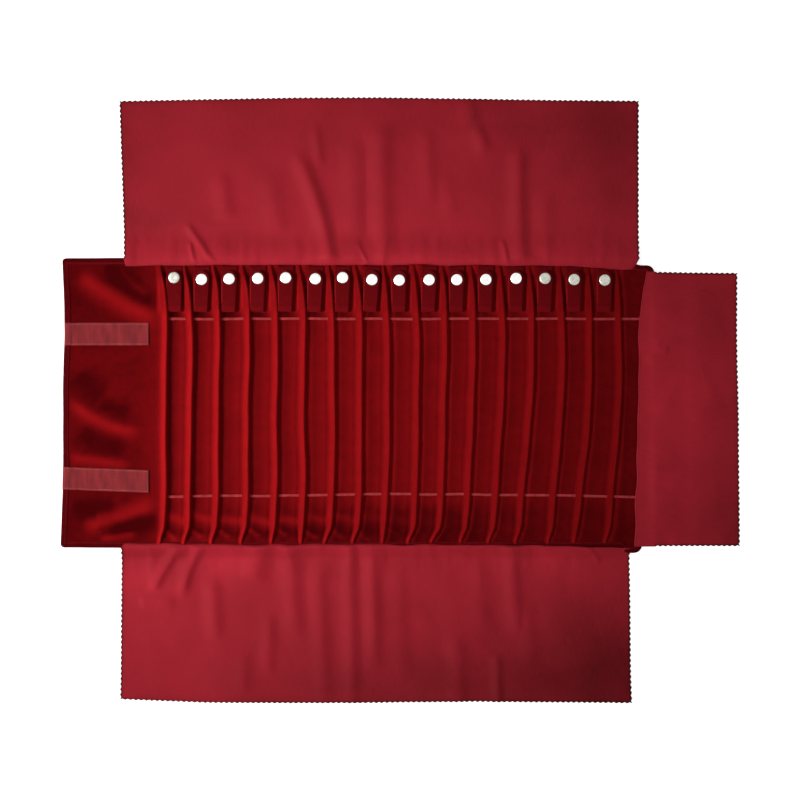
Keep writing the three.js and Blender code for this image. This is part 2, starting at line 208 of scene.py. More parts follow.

# Painted light and shade on the panel: highlights on the pleats and at their lower ends, shade across the
# lanes and towards the right end, light that lifts the shadows beside pleats and straps, and shadow below the
# straps and under the top flap's edge, with the closure end darker and the lanes lighter in tone; three
# values are for the left end, the middle and the right end
PLEAT_HIGHLIGHT = (1.6, 0.82, 0.72)
LANE_LIGHTER = 0.025
LANE_PAINTED_SHADE = (0.42, 0.32, 0.12)
SHADOW_LIFT = (0.08, 0.48, 0.24)
SHADOW_LIFT_REACH = (0.45, 0.34, 0.2)
SHADOW_LIFT_START = 0.05
STRAP_SHADE = (0.36, 0.2, 0.03)
HEAD_SHADOW_LIFT = 0.42
HEAD_SHADOW_LIFT_SIDE = (0.5, 0.8)
HEAD_LESS_HIGHLIGHT = 0.35
FLAP_EDGE_PAINTED_SHADOW = 0.45
SEAM_LESS_LIFT = 0.6
PINCH_HIGHLIGHT = 0.2
PINCH_HIGHLIGHT_REACH = (1 * MM, 8 * MM)
CLOSURE_PILE = -0.12
CLOSURE_PILE_FADE = (0.7, 1)
RIGHT_PAINTED_SHADE = 0.10
RIGHT_PAINTED_SHADE_FROM = (20 * MM, 210 * MM)

# Places up the roll: the lanes' heads, the top flap's seam, and the shade just below the straps
HEAD = (74 * MM, 84 * MM)
HEAD_SEAM = (103 * MM, 114 * MM)
SHADE_FOOT = (72 * MM, 75 * MM)
SHADE_TOP = (79 * MM, 82 * MM)

# Slack below the lower elastic, as bands across the lanes: place, reach, and size: a painted highlight band,
# a painted shade band and a raised band
LANE_FOOT = -112 * MM
LANE_EDGE = 4 * MM
FOOT_PAINTED_HIGHLIGHT = (-106 * MM, 4 * MM, 0.34)
FOOT_PAINTED_SHADE = (-118 * MM, 4 * MM, -0.14)
FOOT_SHADE_DRIFT = 0.4
FOOT_RISE = (-107 * MM, 5 * MM, 0.6 * MM)
FOOT_SLANTS = (1, 9)
FOOT_LEVELS = (-2.5, 2.5)
# Strength of the painted light in the feet, less towards the right; the height below which it shows; and
# painted shade over the feet, growing towards the middle of the roll and eased at the right
FOOT_PAINTED_STRENGTH = 1.1
FOOT_PAINTED_END = (-140 * MM, 60 * MM)
FOOT_LOW = 2 * MM
FEET_PAINTED_SHADE = 0.26
FEET_SHADE_FROM = (-260 * MM, -40 * MM)
FEET_SHADE_TOP = (-86 * MM, -104 * MM)
FEET_SHADE_EASED = 0.7
FEET_SHADE_EASED_FROM = (20 * MM, 150 * MM)

# Crease in each lane's foot, in mm: ranges for its start from the pleat, its run and its bend, and its size;
# and the painted highlight along it
CREASE_START = ((1, 3), (-117, -112))
CREASE_RUN = ((11, 16), (-11, -7))
CREASE_BEND = ((-1.5, 1.5), (-1.5, 1.5))
CREASE_HEIGHT = (0.5, 0.9)
CREASE_WIDTH = 2.4
CREASE_HIGHLIGHT = 0.40

# Folds in the velvet of the closure end: start, bend and end in mm, height in mm, width in mm
CLOSURE_FOLDS = (
    (((-288, 116), (-262, 92), (-208, 70)), 1.7, 10),
    (((-252, 118), (-238, 104), (-222, 92)), 0.9, 5),
    (((-298, 4), (-268, -26), (-226, -28)), 1.4, 6),
    (((-300, -50), (-270, -53), (-236, -58)), 1.2, 5.5),
    (((-286, -112), (-250, -108), (-212, -90)), 1.6, 8),
    (((-268, -123), (-252, -122), (-232, -118)), 1.2, 4.5),
)
# Painted highlight along the folds: full at this height in mm, and its width share
FULL_HIGHLIGHT_FOLD = 3.2
FOLD_HIGHLIGHT_WIDTH = 1.1

# Hollows between them, painted with shade: start, bend and end in mm, width in mm
CLOSURE_HOLLOWS = (
    (((-254, 120), (-240, 100), (-214, 78)), 8),
    (((-262, 122), (-254, 112), (-244, 102)), 5),
    (((-288, 26), (-280, 12), (-262, 0)), 13),
    (((-270, -2), (-256, -9), (-238, -13)), 7),
    (((-288, -26), (-272, -40), (-240, -45)), 11),
    (((-294, -94), (-272, -98), (-250, -96)), 8),
    (((-262, -118), (-238, -112), (-210, -106)), 8),
)
HOLLOW_PAINTED_SHADE = 0.20

# Patches painted lighter or darker: middle and reach in mm, and how much lighter
CLOSURE_PATCHES = (((-255, 96), (48, 26), -0.14), ((-262, 0), (40, 48), 0.03), ((-255, -106), (48, 20), -0.10))

# Cover flaps: pinked teeth, rows of points, and heights
TOOTH_PITCH = 4.75 * MM
TOOTH_DEPTH = 1.15 * MM
SIDE_TOOTH_SHARES = (1, 0.6, 0.25)
TOOTH_POINTS = 4
OUTER_TOOTH_POINTS = 2
ROOT_TEETH = 10
SEAM_ROW = 1.2 * MM
LEAST_SEAM_ROWS = 3
FLAP_THICKNESS = 0.55 * MM
FLAP_REST = 0.75 * MM
FLAP_ON_BODY = 6.4 * MM
FLAP_FALL_START = -1.5 * MM
FLAP_FALL_ROUND = 1.6
FLAP_STITCH_LIFT = 0.08 * MM
TUCKED_CORNER = (0.47, 0.5)
# Painted shade along the pinked edges and just inside them
EDGE_PAINTED_SHADE = -0.62
NEXT_TO_EDGE_PAINTED_SHADE = -0.10

# Ripples of the flaps, with the least and most share of their waves where these are cut off
FLAP_LEE = 0.85
FLAP_FREE = (-8 * MM, 2 * MM)
FLAP_PRESSED_END = (34 * MM, 18 * MM)
FLAP_EDGE_RIPPLE = (0.6, 38)
FLAP_DRIFT = (0.5, 160)
FLAP_SLACK = (0.55, 70, -0.6, None)
FLAP_SLACK_LIFT = 0.33 * MM
FLAP_FINE_SLACK = (0.14, 26, -1, 1)
FLAP_PUCKERS = (0.4, 17, -0.2, 2)
PUCKER_STRETCH = 0.25
PUCKER_START = (-12 * MM, 0)
PUCKER_END = (6 * MM, 34 * MM)
FLAP_SEWN_RIPPLE = (0.25, 30)
FLAP_SEWN_ROWS = (-0.3, -1)
FLAP_SEWN_INSET = (6.2 * MM, 5.6 * MM)
FLAP_SEWN_SINK = 0.3 * MM

# How each flap lies: how much wider than its solid and how far beside it, how far from the body it comes down
# to the table, how flat its free end lies, how far its sides draw in at the seam and its sewn corners are
# tucked; in mm at even steps, how far it reaches in over the body and its free edge hangs back; and its
# patches of painted light and shade, and its folds, written like those of the closure end
TOP_FLAP = SimpleNamespace(
    wider=3.8 * MM, aside=-0.5 * MM, fall=27 * MM, pressed_flat_and_painted_shade=0.7,
    insets=(4.3 * MM, 0.3 * MM), tucks=(2.0 * MM, 5.5 * MM),
    seam=(7.4, 6.1, 6.2, 6.1, 6.2, 7.0, 10.5),
    sag=(2.0, 0.4, -1.0, -1.3, -0.2, 1.1, 1.8),
    painted_patches=(
        ((-225, 131), (26, 10), 0.10), ((-150, 126), (60, 7), 0.12), ((10, 125), (130, 8), 0.17),
        ((184, 228), (56, 52), -0.20), ((0, 170), (90, 50), 0.05), ((-222, 160), (30, 15), -0.18),
        ((54, 254), (5, 14), 0.12), ((66, 254), (6, 14), -0.15), ((95, 248), (70, 18), -0.05),
        ((-247, 190), (13, 75), -0.17), ((186, 182), (40, 14), -0.09), ((178, 254), (60, 12), -0.08),
        ((160, 135), (22, 10), 0.09),
    ),
    folds=(
        (((-191, 158), (-181, 144), (-158, 110)), 2.0, 3.5),
        (((-187, 142), (-186, 130), (-179, 112)), 1.8, 2.2),
        (((-96, 226), (-68, 180), (-58, 98)), 3.8, 7.5),
        (((-76, 250), (-74, 228), (-70, 206)), 1.4, 5),
        (((-40, 240), (-40, 185), (-40, 100)), 2.2, 11),
        (((-16, 254), (-18, 200), (-14, 108)), 3.6, 11),
        (((-39, 142), (-33, 130), (-26, 114)), 2.2, 2.4),
        (((-11, 146), (-14, 134), (-17, 112)), 1.6, 2.6),
        (((24, 248), (25, 210), (27, 170)), 1.5, 8),
        (((60, 268), (68, 244), (78, 216)), 3.0, 7),
        (((106, 235), (104, 180), (110, 98)), 3.6, 8),
        (((130, 190), (130, 155), (128, 123)), 1.5, 9),
        (((90, 144), (94, 134), (97, 112)), 1.8, 3),
        (((40, 205), (44, 180), (46, 160)), 1.0, 8),
        (((-120, 205), (-112, 180), (-106, 140)), 1.8, 11),
        (((-160, 204), (-156, 180), (-154, 158)), 2.0, 9),
        (((176, 250), (182, 200), (176, 150)), 1.6, 20),
    ),
)
BOTTOM_FLAP = SimpleNamespace(
    wider=3.1 * MM, aside=0.5 * MM, fall=13 * MM, pressed_flat_and_painted_shade=0,
    insets=(2.5 * MM, 1.4 * MM), tucks=(0, 3.0 * MM),
    seam=(0.3, 2.2, 3.1, 3.3, 3.5, 3.6, 3.6),
    sag=(-1.6, -1.0, -0.3, -1.4, -1.7, -1.3, 1.8),
    painted_patches=(
        ((-150, -147), (26, 13), 0.22), ((-236, -158), (22, 17), 0.20), ((195, -242), (80, 55), -0.47),
        ((30, -254), (120, 32), -0.22), ((140, -148), (70, 18), 0.15), ((-215, -242), (48, 40), 0.09),
        ((-222, -137), (40, 8), -0.15), ((-78, -244), (32, 26), -0.07), ((126, -252), (30, 14), -0.07),
        ((-200, -168), (40, 13), 0.09), ((-205, -250), (45, 14), 0.06),
    ),
    folds=(
        (((-194, -129), (-212, -150), (-221, -172)), 2.8, 5),
        (((-173, -126), (-191, -148), (-194, -178)), 2.8, 5),
        (((-120, -118), (-126, -146), (-132, -164)), 2.6, 11),
        (((-234, -180), (-218, -178), (-198, -182)), 1.6, 6),
        (((-168, -156), (-165, -190), (-164, -218)), 2.2, 8),
        (((-99, -112), (-96, -170), (-92, -218)), 2.4, 9),
        (((-116, -188), (-117, -215), (-118, -250)), 1.8, 7),
        (((-139, -222), (-139, -245), (-140, -266)), 1.2, 7),
        (((-73, -138), (-71, -190), (-66, -288)), 2.0, 8),
        (((-47, -112), (-43, -190), (-42, -288)), 2.4, 7),
        (((-26, -112), (-23, -180), (-23, -248)), 2.6, 7),
        (((-2, -134), (0, -190), (4, -262)), 1.3, 8),
        (((50, -206), (52, -240), (54, -285)), 2.4, 9),
        (((70, -136), (71, -170), (74, -208)), 1.5, 9),
        (((100, -112), (99, -165), (106, -216)), 2.8, 8),
        (((112, -180), (114, -210), (118, -242)), 1.6, 9),
        (((86, -224), (87, -250), (88, -285)), 2.4, 5),
        (((140, -134), (141, -150), (143, -178)), 1.0, 10),
        (((162, -126), (172, -136), (179, -146)), 1.8, 3),
    ),
)
SIDE_FLAP = SimpleNamespace(
    wider=0.7 * MM, aside=0.35 * MM, fall=32 * MM, pressed_flat_and_painted_shade=0,
    insets=(0, 0), tucks=(0, 0),
    seam=(7.8, 14.1, 14.5, 15.3, 16.4, 17.4, 18.2),
    sag=(0.1, 0.2, -1.0, -1.7, -2.2),
    painted_patches=(
        ((240, -24), (20, 120), 0.17), ((258, -8), (30, 46), 0.14), ((300, -112), (26, 40), -0.16),
        ((248, -78), (28, 16), 0.09), ((272, 96), (20, 24), -0.09), ((230, 24), (14, 80), 0.11),
        ((242, 10), (20, 16), 0.08),
    ),
    folds=(
        (((226, 52), (232, 46), (240, 44)), 1.0, 5),
        (((232, 96), (262, 60), (292, 70)), 1.2, 22),
        (((230, 10), (258, -10), (290, 6)), 1.4, 24),
        (((234, -70), (262, -92), (292, -80)), 1.2, 22),
        (((234, -126), (264, -122), (302, -124)), 1.8, 10),
    ),
)

# Snap tabs: how far each stands from the middle of its lane in mm, how far its strap leans in degrees,
# and how far its snap is set up or down the strap in mm
TAB_SHIFTS = (-1.7, -1.8, -1.9, -1.2, -1.3, 0.1, -0.7, 0.2, -0.8, 0.4, -0.5, -0.2, 1.0, 1.0, 1.0, 2.2)
TAB_LEANS = (0.6, -1.6, -1.2, -1.8, -1.0, -2.0, -1.4, -4.0, -1.2, -1.8, -1.0, -1.6, -0.8, -1.2, -0.6, -1.0)
TAB_RISES = (1.0, -0.5, 0, 0.4, 0.9, 0, 1.1, -0.7, -1.2, -0.9, -0.8, -0.6, 0.4, 0.4, -0.6, -1.1)

# Straps: sizes, heights of the rear and front leaf, rows of points, relief of the velvet's surface, and
# painted highlights along the fold and the left edge
STRAP_FOLD_WIDTH = 12.6 * MM
STRAP_SNAP_WIDTH = 14.4 * MM
STRAP_FOLD_LIFT = 0.3 * MM
STRAP_THICKNESS = 0.8 * MM
STRAP_REAR = 5.0 * MM
STRAP_FRONT = 8.15 * MM
STRAP_SEWN_END = 119.5 * MM
STRAP_COLUMNS = 11
STRAP_ROWS = 14
BEND_ROWS = 13
TIP_ROWS = 8
TIP_TURN = 1.5
STRAP_ROUNDING = 0.2 * MM
STRAP_PILE = (0.09, 9)
STRAP_PILE_ENDS = (-0.05 * MM, 0.12 * MM)
STRAP_PILE_SHIFT = 9
BEND_CREST = 5
BEND_FRONT = 8
BEND_CREST_HIGHLIGHT = 0.5
BEND_FRONT_HIGHLIGHT = 0.12
STRAP_EDGE_HIGHLIGHT = 0.6

# Snaps: sections in mm of radius and height, from the lower or the upper end of the piece
SOCKET_SECTION = (
    (0, 1.2), (1.3, 1.2), (2.0, 1.0), (2.05, 0.2), (2.3, 0), (4.2, 0), (4.5, 0.25), (4.5, 0.75), (4.2, 1.0),
    (2.6, 1.0),
)
CAP_SECTION = (
    (2.6, -0.9), (4.55, -0.9), (4.88, -0.82), (5.0, -0.64), (4.9, -0.42), (4.58, -0.22), (4.05, -0.08),
    (3.3, 0), (2.4, -0.01), (1.2, -0.07), (0, -0.08),
)
STUD_PLATE_SECTION = (
    (0, 0), (4.2, 0), (4.5, 0.12), (4.5, 0.28), (4.1, 0.4), (2.4, 0.4), (1.5, 0.48), (1.4, 0.62), (1.7, 0.9),
    (1.75, 1.12),
)
STUD_HEAD_SECTION = ((1.5, -0.2), (0.9, -0.03), (0, 0))
CAP_SIDES = 44
STUD_SIDES = 28
DULL_CAPS = (1, 14, 15, 16)

# Woven bands: scale of a wave pattern times its pitch in metres
RIB_SCALE = 0.314

# Thread
STITCH_PITCH = 2.6 * MM
STITCH_LENGTH = 2.0 * MM
THREAD_WIDTH = 0.42 * MM

# Elastics: places along them and shifts across them in mm, and their section
UPPER_ELASTIC_BOW = ((-225, 0.0), (-100, 0.3), (203, 0.0))
LOWER_ELASTIC_BOW = (
    (-225, -0.3), (-170, 0.6), (-85, 0.9), (-28, 2.5), (20, 2.1), (97, 1.6), (160, 1.0), (203, -0.6),
)
ELASTIC_UNDER_FLAP = 5 * MM
ELASTIC_COLUMNS = 340
ELASTIC_ROWS = 13
ELASTIC_SLIMMER = 0.1 * MM
ELASTIC_WANDER = (0.25, 60)
ELASTIC_RIPPLE = (0.05, 20)
ELASTIC_DOME = 0.16 * MM
ELASTIC_RIBS = 0.06 * MM
ELASTIC_SINK = 0.2 * MM
ELASTIC_THICKNESS = 0.5 * MM

# Closure tape, its hooks and its loops
TAPE_COLUMNS = 62
LOOP_TAPE_COLUMNS = 60
TAPE_ROWS = 18
TAPE_THICKNESS = 0.75 * MM
TAPE_LIFT = 0.9 * MM
TAPE_BORDER = 2.0 * MM
TAPE_BARE_END = 3 * MM
TAPE_OVER_HEM = 4.2 * MM
TAPE_TRIM = 1.8 * MM
TAPE_EDGE = 1.0 * MM
TAPE_EDGE_DROP = 0.22 * MM
TAPE_HEM_STEP = (0.8 * MM, 4.0 * MM)
TAPE_END_REACH = 2.2 * MM
TAPE_END_DROP = 0.7 * MM
TAPE_GAP = 0.1 * MM
TAPE_STITCH_PITCH = 2.0 * MM
TAPE_STITCH_LENGTH = 1.6 * MM
TAPE_THREAD_WIDTH = 0.45 * MM
TAPE_STITCH_LIFT = 0.06 * MM
LOWER_TAPE_TILT = math.radians(-2.2)
LOWER_TAPE_SHIFT = 1.2 * MM
LOOP_TAPE_THICKNESS = 0.4 * MM
LOOP_TAPE_SINK = 0.05 * MM
LOOP_TAPE_EDGE_DROP = 0.15 * MM
LOOP_LIFT = 0.08 * MM
LOOP_FLATTEN = 0.45
LOOP_TURN = 6.28
HOOK_PITCH = 1.35 * MM
HOOK_JITTER = 0.2
HOOK_TURN = 0.7
HOOK_RADIUS = 0.34 * MM
HOOK_STEM = 0.42 * MM
HOOK_WIRE = 0.085 * MM
HOOK_SLANT = 0.3
HOOK_BEND = (math.pi, -0.5)
HOOK_BEND_STEPS = 6
HOOK_SIDES = 4

body_low, body_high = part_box("outer_cover")
panel_low, panel_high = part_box("velvet_panel")
floor_z = body_high.z
pleat_height = panel_high.z - floor_z
tab_names = [f"tab_{number:02d}" for number in range(1, len(TAB_LEANS) + 1)]
tab_boxes = [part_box(f"{tab}_cap") for tab in tab_names]
tab_middles = [(low + high) / 2 for low, high in tab_boxes]
tab_axis = next(Vector(joint["pos_m"]) for joint in frame["joints"] if joint["name"] == "tab_01_fold")
strap_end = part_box("tab_01_strap")[1].y
snap_y = tab_middles[0].y


# Shapes of cloth

def smoothstep(low, high, value):
    share = np.clip((value - low) / (high - low), 0, 1)
    return share * share * (3 - 2 * share)


def left_to_right(along, values):
    """Value at a share of the way along the roll, from those at its left end, middle and right end."""
    return np.interp(along, (0, 0.5, 1), values)


def from_edge(x, y, west, east, south, north):
    """Distance in from the nearest of four straight edges."""
    return np.minimum(np.minimum(x - west, east - x), np.minimum(y - south, north - y))


def uneven(x, y, wavelength, seed):
    """Gentle unevenness of cloth, from waves that cross in all directions."""
    draw = np.random.default_rng(seed)
    total = np.zeros_like(x)
    for _ in range(WAVES):
        heading = draw.uniform(0, 2 * math.pi)
        length = wavelength * draw.uniform(*WAVE_SHARES)
        phase = draw.uniform(0, 2 * math.pi)
        total += np.sin((x * math.cos(heading) + y * math.sin(heading)) * 2 * math.pi / length + phase)
    return total / math.sqrt(WAVES)


def rippled(x, y, ripple, seed):
    """Uneven height of cloth from a ripple, which may give the least and the most of its waves as well."""
    height, wavelength, *ends = ripple
    waves = uneven(x, y, wavelength * MM, seed)
    return height * MM * (np.clip(waves, *ends) if ends else waves)


def fold_share(x, y, line, width, lee=FOLD_LEE):
    """Height share of one fold along a bent line, steeper on the side away from the light."""
    start, bend, end = (np.array(point) * MM for point in line)
    steps = np.linspace(0, 1, FOLD_STEPS + 1)[:, None]
    points = (1 - steps) ** 2 * start + 2 * steps * (1 - steps) * bend + steps ** 2 * end
    nearest = np.full(x.shape, np.inf)
    at = np.zeros(x.shape)
    side = np.zeros(x.shape)
    for step in range(FOLD_STEPS):
        px, py = points[step]
        run_x, run_y = points[step + 1] - points[step]
        facing = 1 if run_y - LIGHT_SLANT * run_x > 0 else -1
        share = np.clip(((x - px) * run_x + (y - py) * run_y) / (run_x ** 2 + run_y ** 2), 0, 1)
        off_x = x - px - share * run_x
        off_y = y - py - share * run_y
        distance = np.hypot(off_x, off_y)
        closer = distance < nearest
        nearest = np.where(closer, distance, nearest)
        at = np.where(closer, (step + share) / FOLD_STEPS, at)
        side = np.where(closer, (off_x * run_y - off_y * run_x) * facing, side)
    spread = np.where(side > 0, lee, 1.0) * width * MM
    fade = smoothstep(0, FOLD_FADE, at) * smoothstep(1, 1 - FOLD_FADE, at)
    return np.exp(-((nearest / spread) ** 2)) * fade


def folds_height(x, y, folds, lee=FOLD_LEE):
    total = np.zeros(x.shape)
    for line, height, width in folds:
        fold = height * MM * fold_share(x, y, line, width, lee)
        total = np.maximum(total, fold) + FOLD_CROSSING * np.minimum(total, fold)
    return total


def patches(x, y, spots):
    """Soft-edged patches painted lighter or darker."""
    total = np.zeros(x.shape)
    for (across, up), (reach_x, reach_y), lightened in spots:
        distance = ((x / MM - across) / reach_x) ** 2 + ((y / MM - up) / reach_y) ** 2
        total += lightened * np.exp(-distance)
    return total


def out_of_square(x, y):
    """Places on the body as it lies, with both ends slightly out of square."""
    heights, insets = np.array(LEFT_EDGE).T * MM
    left = 1 - smoothstep(body_low.x, LEFT_END, x)
    right = smoothstep(*RIGHT_END, x)
    down = (body_high.y - y) / (body_high.y - body_low.y)
    drop = RIGHT_END_DROP_TOP + (RIGHT_END_DROP_BOTTOM - RIGHT_END_DROP_TOP) * down
    return x + np.interp(y, heights, insets) * left + RIGHT_END_SKEW * right * down, y + drop * right


def laid(x, y, z):
    """Grid of points on the body as it lies."""
    return np.stack([*out_of_square(x, y), z], axis=2)


# Meshes

def placed(name, data):
    """New object in the scene."""
    thing = bpy.data.objects.new(name, data)
    bpy.context.scene.collection.objects.link(thing)
    return thing


def grid_faces(rows, columns, first=0, flip=False):
    corner = first + np.arange(rows - 1)[:, None] * columns + np.arange(columns - 1)[None, :]
    corner = corner.reshape(-1)
    faces = np.stack([corner, corner + 1, corner + columns + 1, corner + columns], axis=1)
    return faces[:, ::-1] if flip else faces


def ring_faces(rings, sides, first=0):
    """Faces between closed rings of points, each ring following the one before it."""
    point = first + np.arange(rings * sides).reshape(rings, sides)
    after = np.roll(point, -1, axis=1)
    return np.stack([point[:-1], after[:-1], after[1:], point[1:]], axis=2).reshape(-1, 4).tolist()


def make_piece(name, vertices, faces, material, flat=None):
    """Mesh object at the origin with smooth faces and, for cloth, a flat map in metres."""
    vertices = np.asarray(vertices, float)
    mesh = bpy.data.meshes.new(name)
    mesh.from_pydata(vertices.tolist(), [], [list(map(int, face)) for face in faces])
    mesh.polygons.foreach_set("use_smooth", [True] * len(mesh.polygons))
    mesh.materials.append(material)
    flat = vertices[:, :2] if flat is None else np.asarray(flat, float)
    corners = np.zeros(len(mesh.loops), int)
    mesh.loops.foreach_get("vertex_index", corners)
    mesh.uv_layers.new(name="cloth").data.foreach_set("uv", flat[corners].astype(np.float32).ravel())
    mesh.update()
    return placed(name, mesh)


def thick_cloth(name, upper, thickness, material, flat):
    """Closed sheet of cloth below a grid of points, with its raw edge all round."""
    rows, columns, _ = upper.shape
    normal = np.cross(np.gradient(upper, axis=1), np.gradient(upper, axis=0))
    normal /= np.maximum(np.linalg.norm(normal, axis=2, keepdims=True), 1e-12)
    lower = upper - normal * thickness
    count = rows * columns
    vertices = np.concatenate([upper.reshape(-1, 3), lower.reshape(-1, 3)])
    index = np.arange(count).reshape(rows, columns)
    loop = np.concatenate([index[0, :-1], index[:-1, -1], index[-1, :0:-1], index[:0:-1, 0]])
    after = np.roll(loop, -1)
    rim = np.stack([loop + count, after + count, after, loop], axis=1)
    faces = np.concatenate([grid_faces(rows, columns), grid_faces(rows, columns, count, flip=True), rim])
    flat = np.concatenate([flat.reshape(-1, 2)] * 2)
    return make_piece(name, vertices, faces, material, flat)


def record_painted_light(piece, pile_and_painted_light):
    """Records the light and shade painted on a cloth at each of its points, face by face."""
    attribute = piece.data.attributes.new("pile_and_painted_light", "FLOAT", "POINT")
    attribute.data.foreach_set("value", np.resize(pile_and_painted_light, len(piece.data.vertices)).astype(np.float32))


def flat_from(upper):
    """Flat map of a cloth grid from the lengths along its rows and columns."""
    across = np.linalg.norm(np.diff(upper, axis=1), axis=2).mean(axis=0)
    along = np.linalg.norm(np.diff(upper, axis=0), axis=2).mean(axis=1)
    u = np.concatenate([[0], np.cumsum(across)])
    v = np.concatenate([[0], np.cumsum(along)])
    return np.stack(np.meshgrid(u, v), axis=2)


def section_from(height, section):
    """Radius and height of a turned piece's section, which is given in mm from a height."""
    return [(radius * MM, height + up * MM) for radius, up in section]


def turned(name, profile, sides, material, middle=(0, 0)):
    """Solid of revolution about Z from a profile of radius and height that starts and ends on the axis."""
    angles = np.linspace(0, 2 * math.pi, sides, endpoint=False)
    (_, start), *rings, (_, end) = profile
    vertices = [(*middle, start)]
    for radius, height in rings:
        for angle in angles:
            place = (middle[0] + radius * math.cos(angle), middle[1] + radius * math.sin(angle), height)
            vertices.append(place)
    vertices.append((*middle, end))
    last = len(vertices) - 1
    top = last - sides
    faces = ring_faces(len(rings), sides, 1)
    for k in range(sides):
        after = (k + 1) % sides
        faces.append((0, 1 + after, 1 + k))
        faces.append((top + k, top + after, last))
    return make_piece(name, vertices, faces, material)


# Materials

def add_node(tree, kind, inputs=None, **settings):
    node = tree.nodes.new(kind)
    for setting, value in settings.items():
        setattr(node, setting, value)
    for socket, value in (inputs or {}).items():
        if isinstance(value, bpy.types.NodeSocket):
            tree.links.new(value, node.inputs[socket])
        else:
            node.inputs[socket].default_value = value
    return node


def math_node(tree, operation, first, second):
    return add_node(tree, "ShaderNodeMath", {0: first, 1: second}, operation=operation).outputs[0]


def summed(tree, total, *others):
    for other in others:
        total = math_node(tree, "ADD", total, other)
    return total


def mixed_colour(tree, share, first, second):
    inputs = {0: share, 6: (*first, 1), 7: (*second, 1)}
    return add_node(tree, "ShaderNodeMix", inputs, data_type="RGBA", clamp_factor=False).outputs[2]


def noise(tree, place, scale, detail=2.0, roughness=0.5, distortion=0.0):
    inputs = {"Vector": place, "Scale": scale, "Detail": detail}
    inputs.update({"Roughness": roughness, "Distortion": distortion})
    return add_node(tree, "ShaderNodeTexNoise", inputs).outputs[0]


def drawn_out(tree, place, scale, turn=0.0):
    """Place on a pattern that is drawn out along one direction."""
    inputs = {"Vector": place, "Rotation": (0, 0, turn), "Scale": scale}
    return add_node(tree, "ShaderNodeMapping", inputs).outputs[0]


def ranged(tree, value, given, wanted=(0.0, 1.0)):
    """Value brought smoothly from the range it is given in to the one that is wanted."""
    inputs = {"Value": value, "From Min": given[0], "From Max": given[1]}
    inputs.update({"To Min": wanted[0], "To Max": wanted[1]})
    return add_node(tree, "ShaderNodeMapRange", inputs, interpolation_type="SMOOTHSTEP").outputs[0]


def sheen(weight, roughness, tint):
    return {"Sheen Weight": weight, "Sheen Roughness": roughness, "Sheen Tint": (*tint, 1)}


def new_material(name):
    material = bpy.data.materials.new(name)
    material.use_nodes = True
    material.node_tree.nodes.clear()
    return material, material.node_tree


def surface(tree, colour, roughness, height, bump, constants):
    """Shader with constant values on its own sockets, and relief from a height."""
    relief = add_node(tree, "ShaderNodeBump", {"Height": height, "Strength": bump[0], "Distance": bump[1]})
    inputs = {"Base Color": colour, "Roughness": roughness, "Normal": relief.outputs[0], **constants}
    shader = add_node(tree, "ShaderNodeBsdfPrincipled", inputs)
    add_node(tree, "ShaderNodeOutputMaterial", {"Surface": shader.outputs[0]})


def cloth_map(tree):
    return add_node(tree, "ShaderNodeUVMap", uv_map="cloth").outputs[0]


def object_place(tree):
    return add_node(tree, "ShaderNodeTexCoord").outputs["Object"]


# Light and shade painted on a cloth's points, as read by its material
def painted_light_share(tree):
    return add_node(tree, "ShaderNodeAttribute", attribute_name="pile_and_painted_light").outputs["Fac"]


def velvet_material(name, dark, light, tint):
    """Cut velvet: brushed patches, fine speckled fibres, light and shade painted on its points, and a red
    sheen at a slant.
    """
    material, tree = new_material(name)
    place = cloth_map(tree)
    slanted = drawn_out(tree, place, (1, 2.6, 1), turn=0.6)
    brushed = noise(tree, slanted, 26, detail=3, roughness=0.55, distortion=0.6)
    mottled = noise(tree, place, 160, detail=3)
    pile_and_painted_light = noise(tree, place, 2600)
    # The colour's share adds the light and shade painted on the points
    share = summed(
        tree, ranged(tree, brushed, (0.3, 0.7), (-0.03, 0.03)), painted_light_share(tree),
        ranged(tree, mottled, (0.25, 0.75), (0.26, 0.32)), ranged(tree, pile_and_painted_light, (0.2, 0.8), (-0.1, 0.1)),
    )
    share = add_node(tree, "ShaderNodeClamp", {"Value": share, "Max": 1.25}).outputs[0]
    colour = mixed_colour(tree, share, dark, light)
    surface(tree, colour, 0.95, pile_and_painted_light, (0.35, 0.0004), {"Specular IOR Level": 0.0, **sheen(0.30, 0.35, tint)})
    return material


def flap_material(name, dark, light, tint):
    """Brushed lining cloth: a fine diagonal weave, uneven dye, light and shade painted on its points, and a
    dull gleam.
    """
    material, tree = new_material(name)
    place = cloth_map(tree)
    dye = noise(tree, place, 22, detail=4, roughness=0.55)
    threads = noise(tree, drawn_out(tree, place, (1, 0.12, 1)), 900)
    weave = {"Vector": place, "Scale": 320, "Distortion": 0.6, "Detail": 1.0}
    twill = add_node(tree, "ShaderNodeTexWave", weave, bands_direction="DIAGONAL").outputs["Fac"]
    # The colour's share adds the light and shade painted on the points
    share = summed(
        tree, ranged(tree, dye, (0.3, 0.7), (0.54, 0.66)), ranged(tree, threads, (0.3, 0.7), (0, 0.12)),
        ranged(tree, twill, (0, 1), (-0.03, 0.05)), painted_light_share(tree),
    )
    share = add_node(tree, "ShaderNodeClamp", {"Value": share}).outputs[0]
    colour = mixed_colour(tree, share, dark, light)
    rough = ranged(tree, threads, (0.3, 0.7), (0.55, 0.72))
    height = summed(tree, twill, math_node(tree, "MULTIPLY", threads, 0.7))
    constants = {"Specular IOR Level": 0.06, **sheen(0.05, 0.5, tint)}
    surface(tree, colour, rough, height, (0.22, 0.00018), constants)
    return material


def streaks(tree, place):
    """Uneven streaks across a band."""
    return noise(tree, drawn_out(tree, place, (1, 0.25, 1)), 170, detail=3)


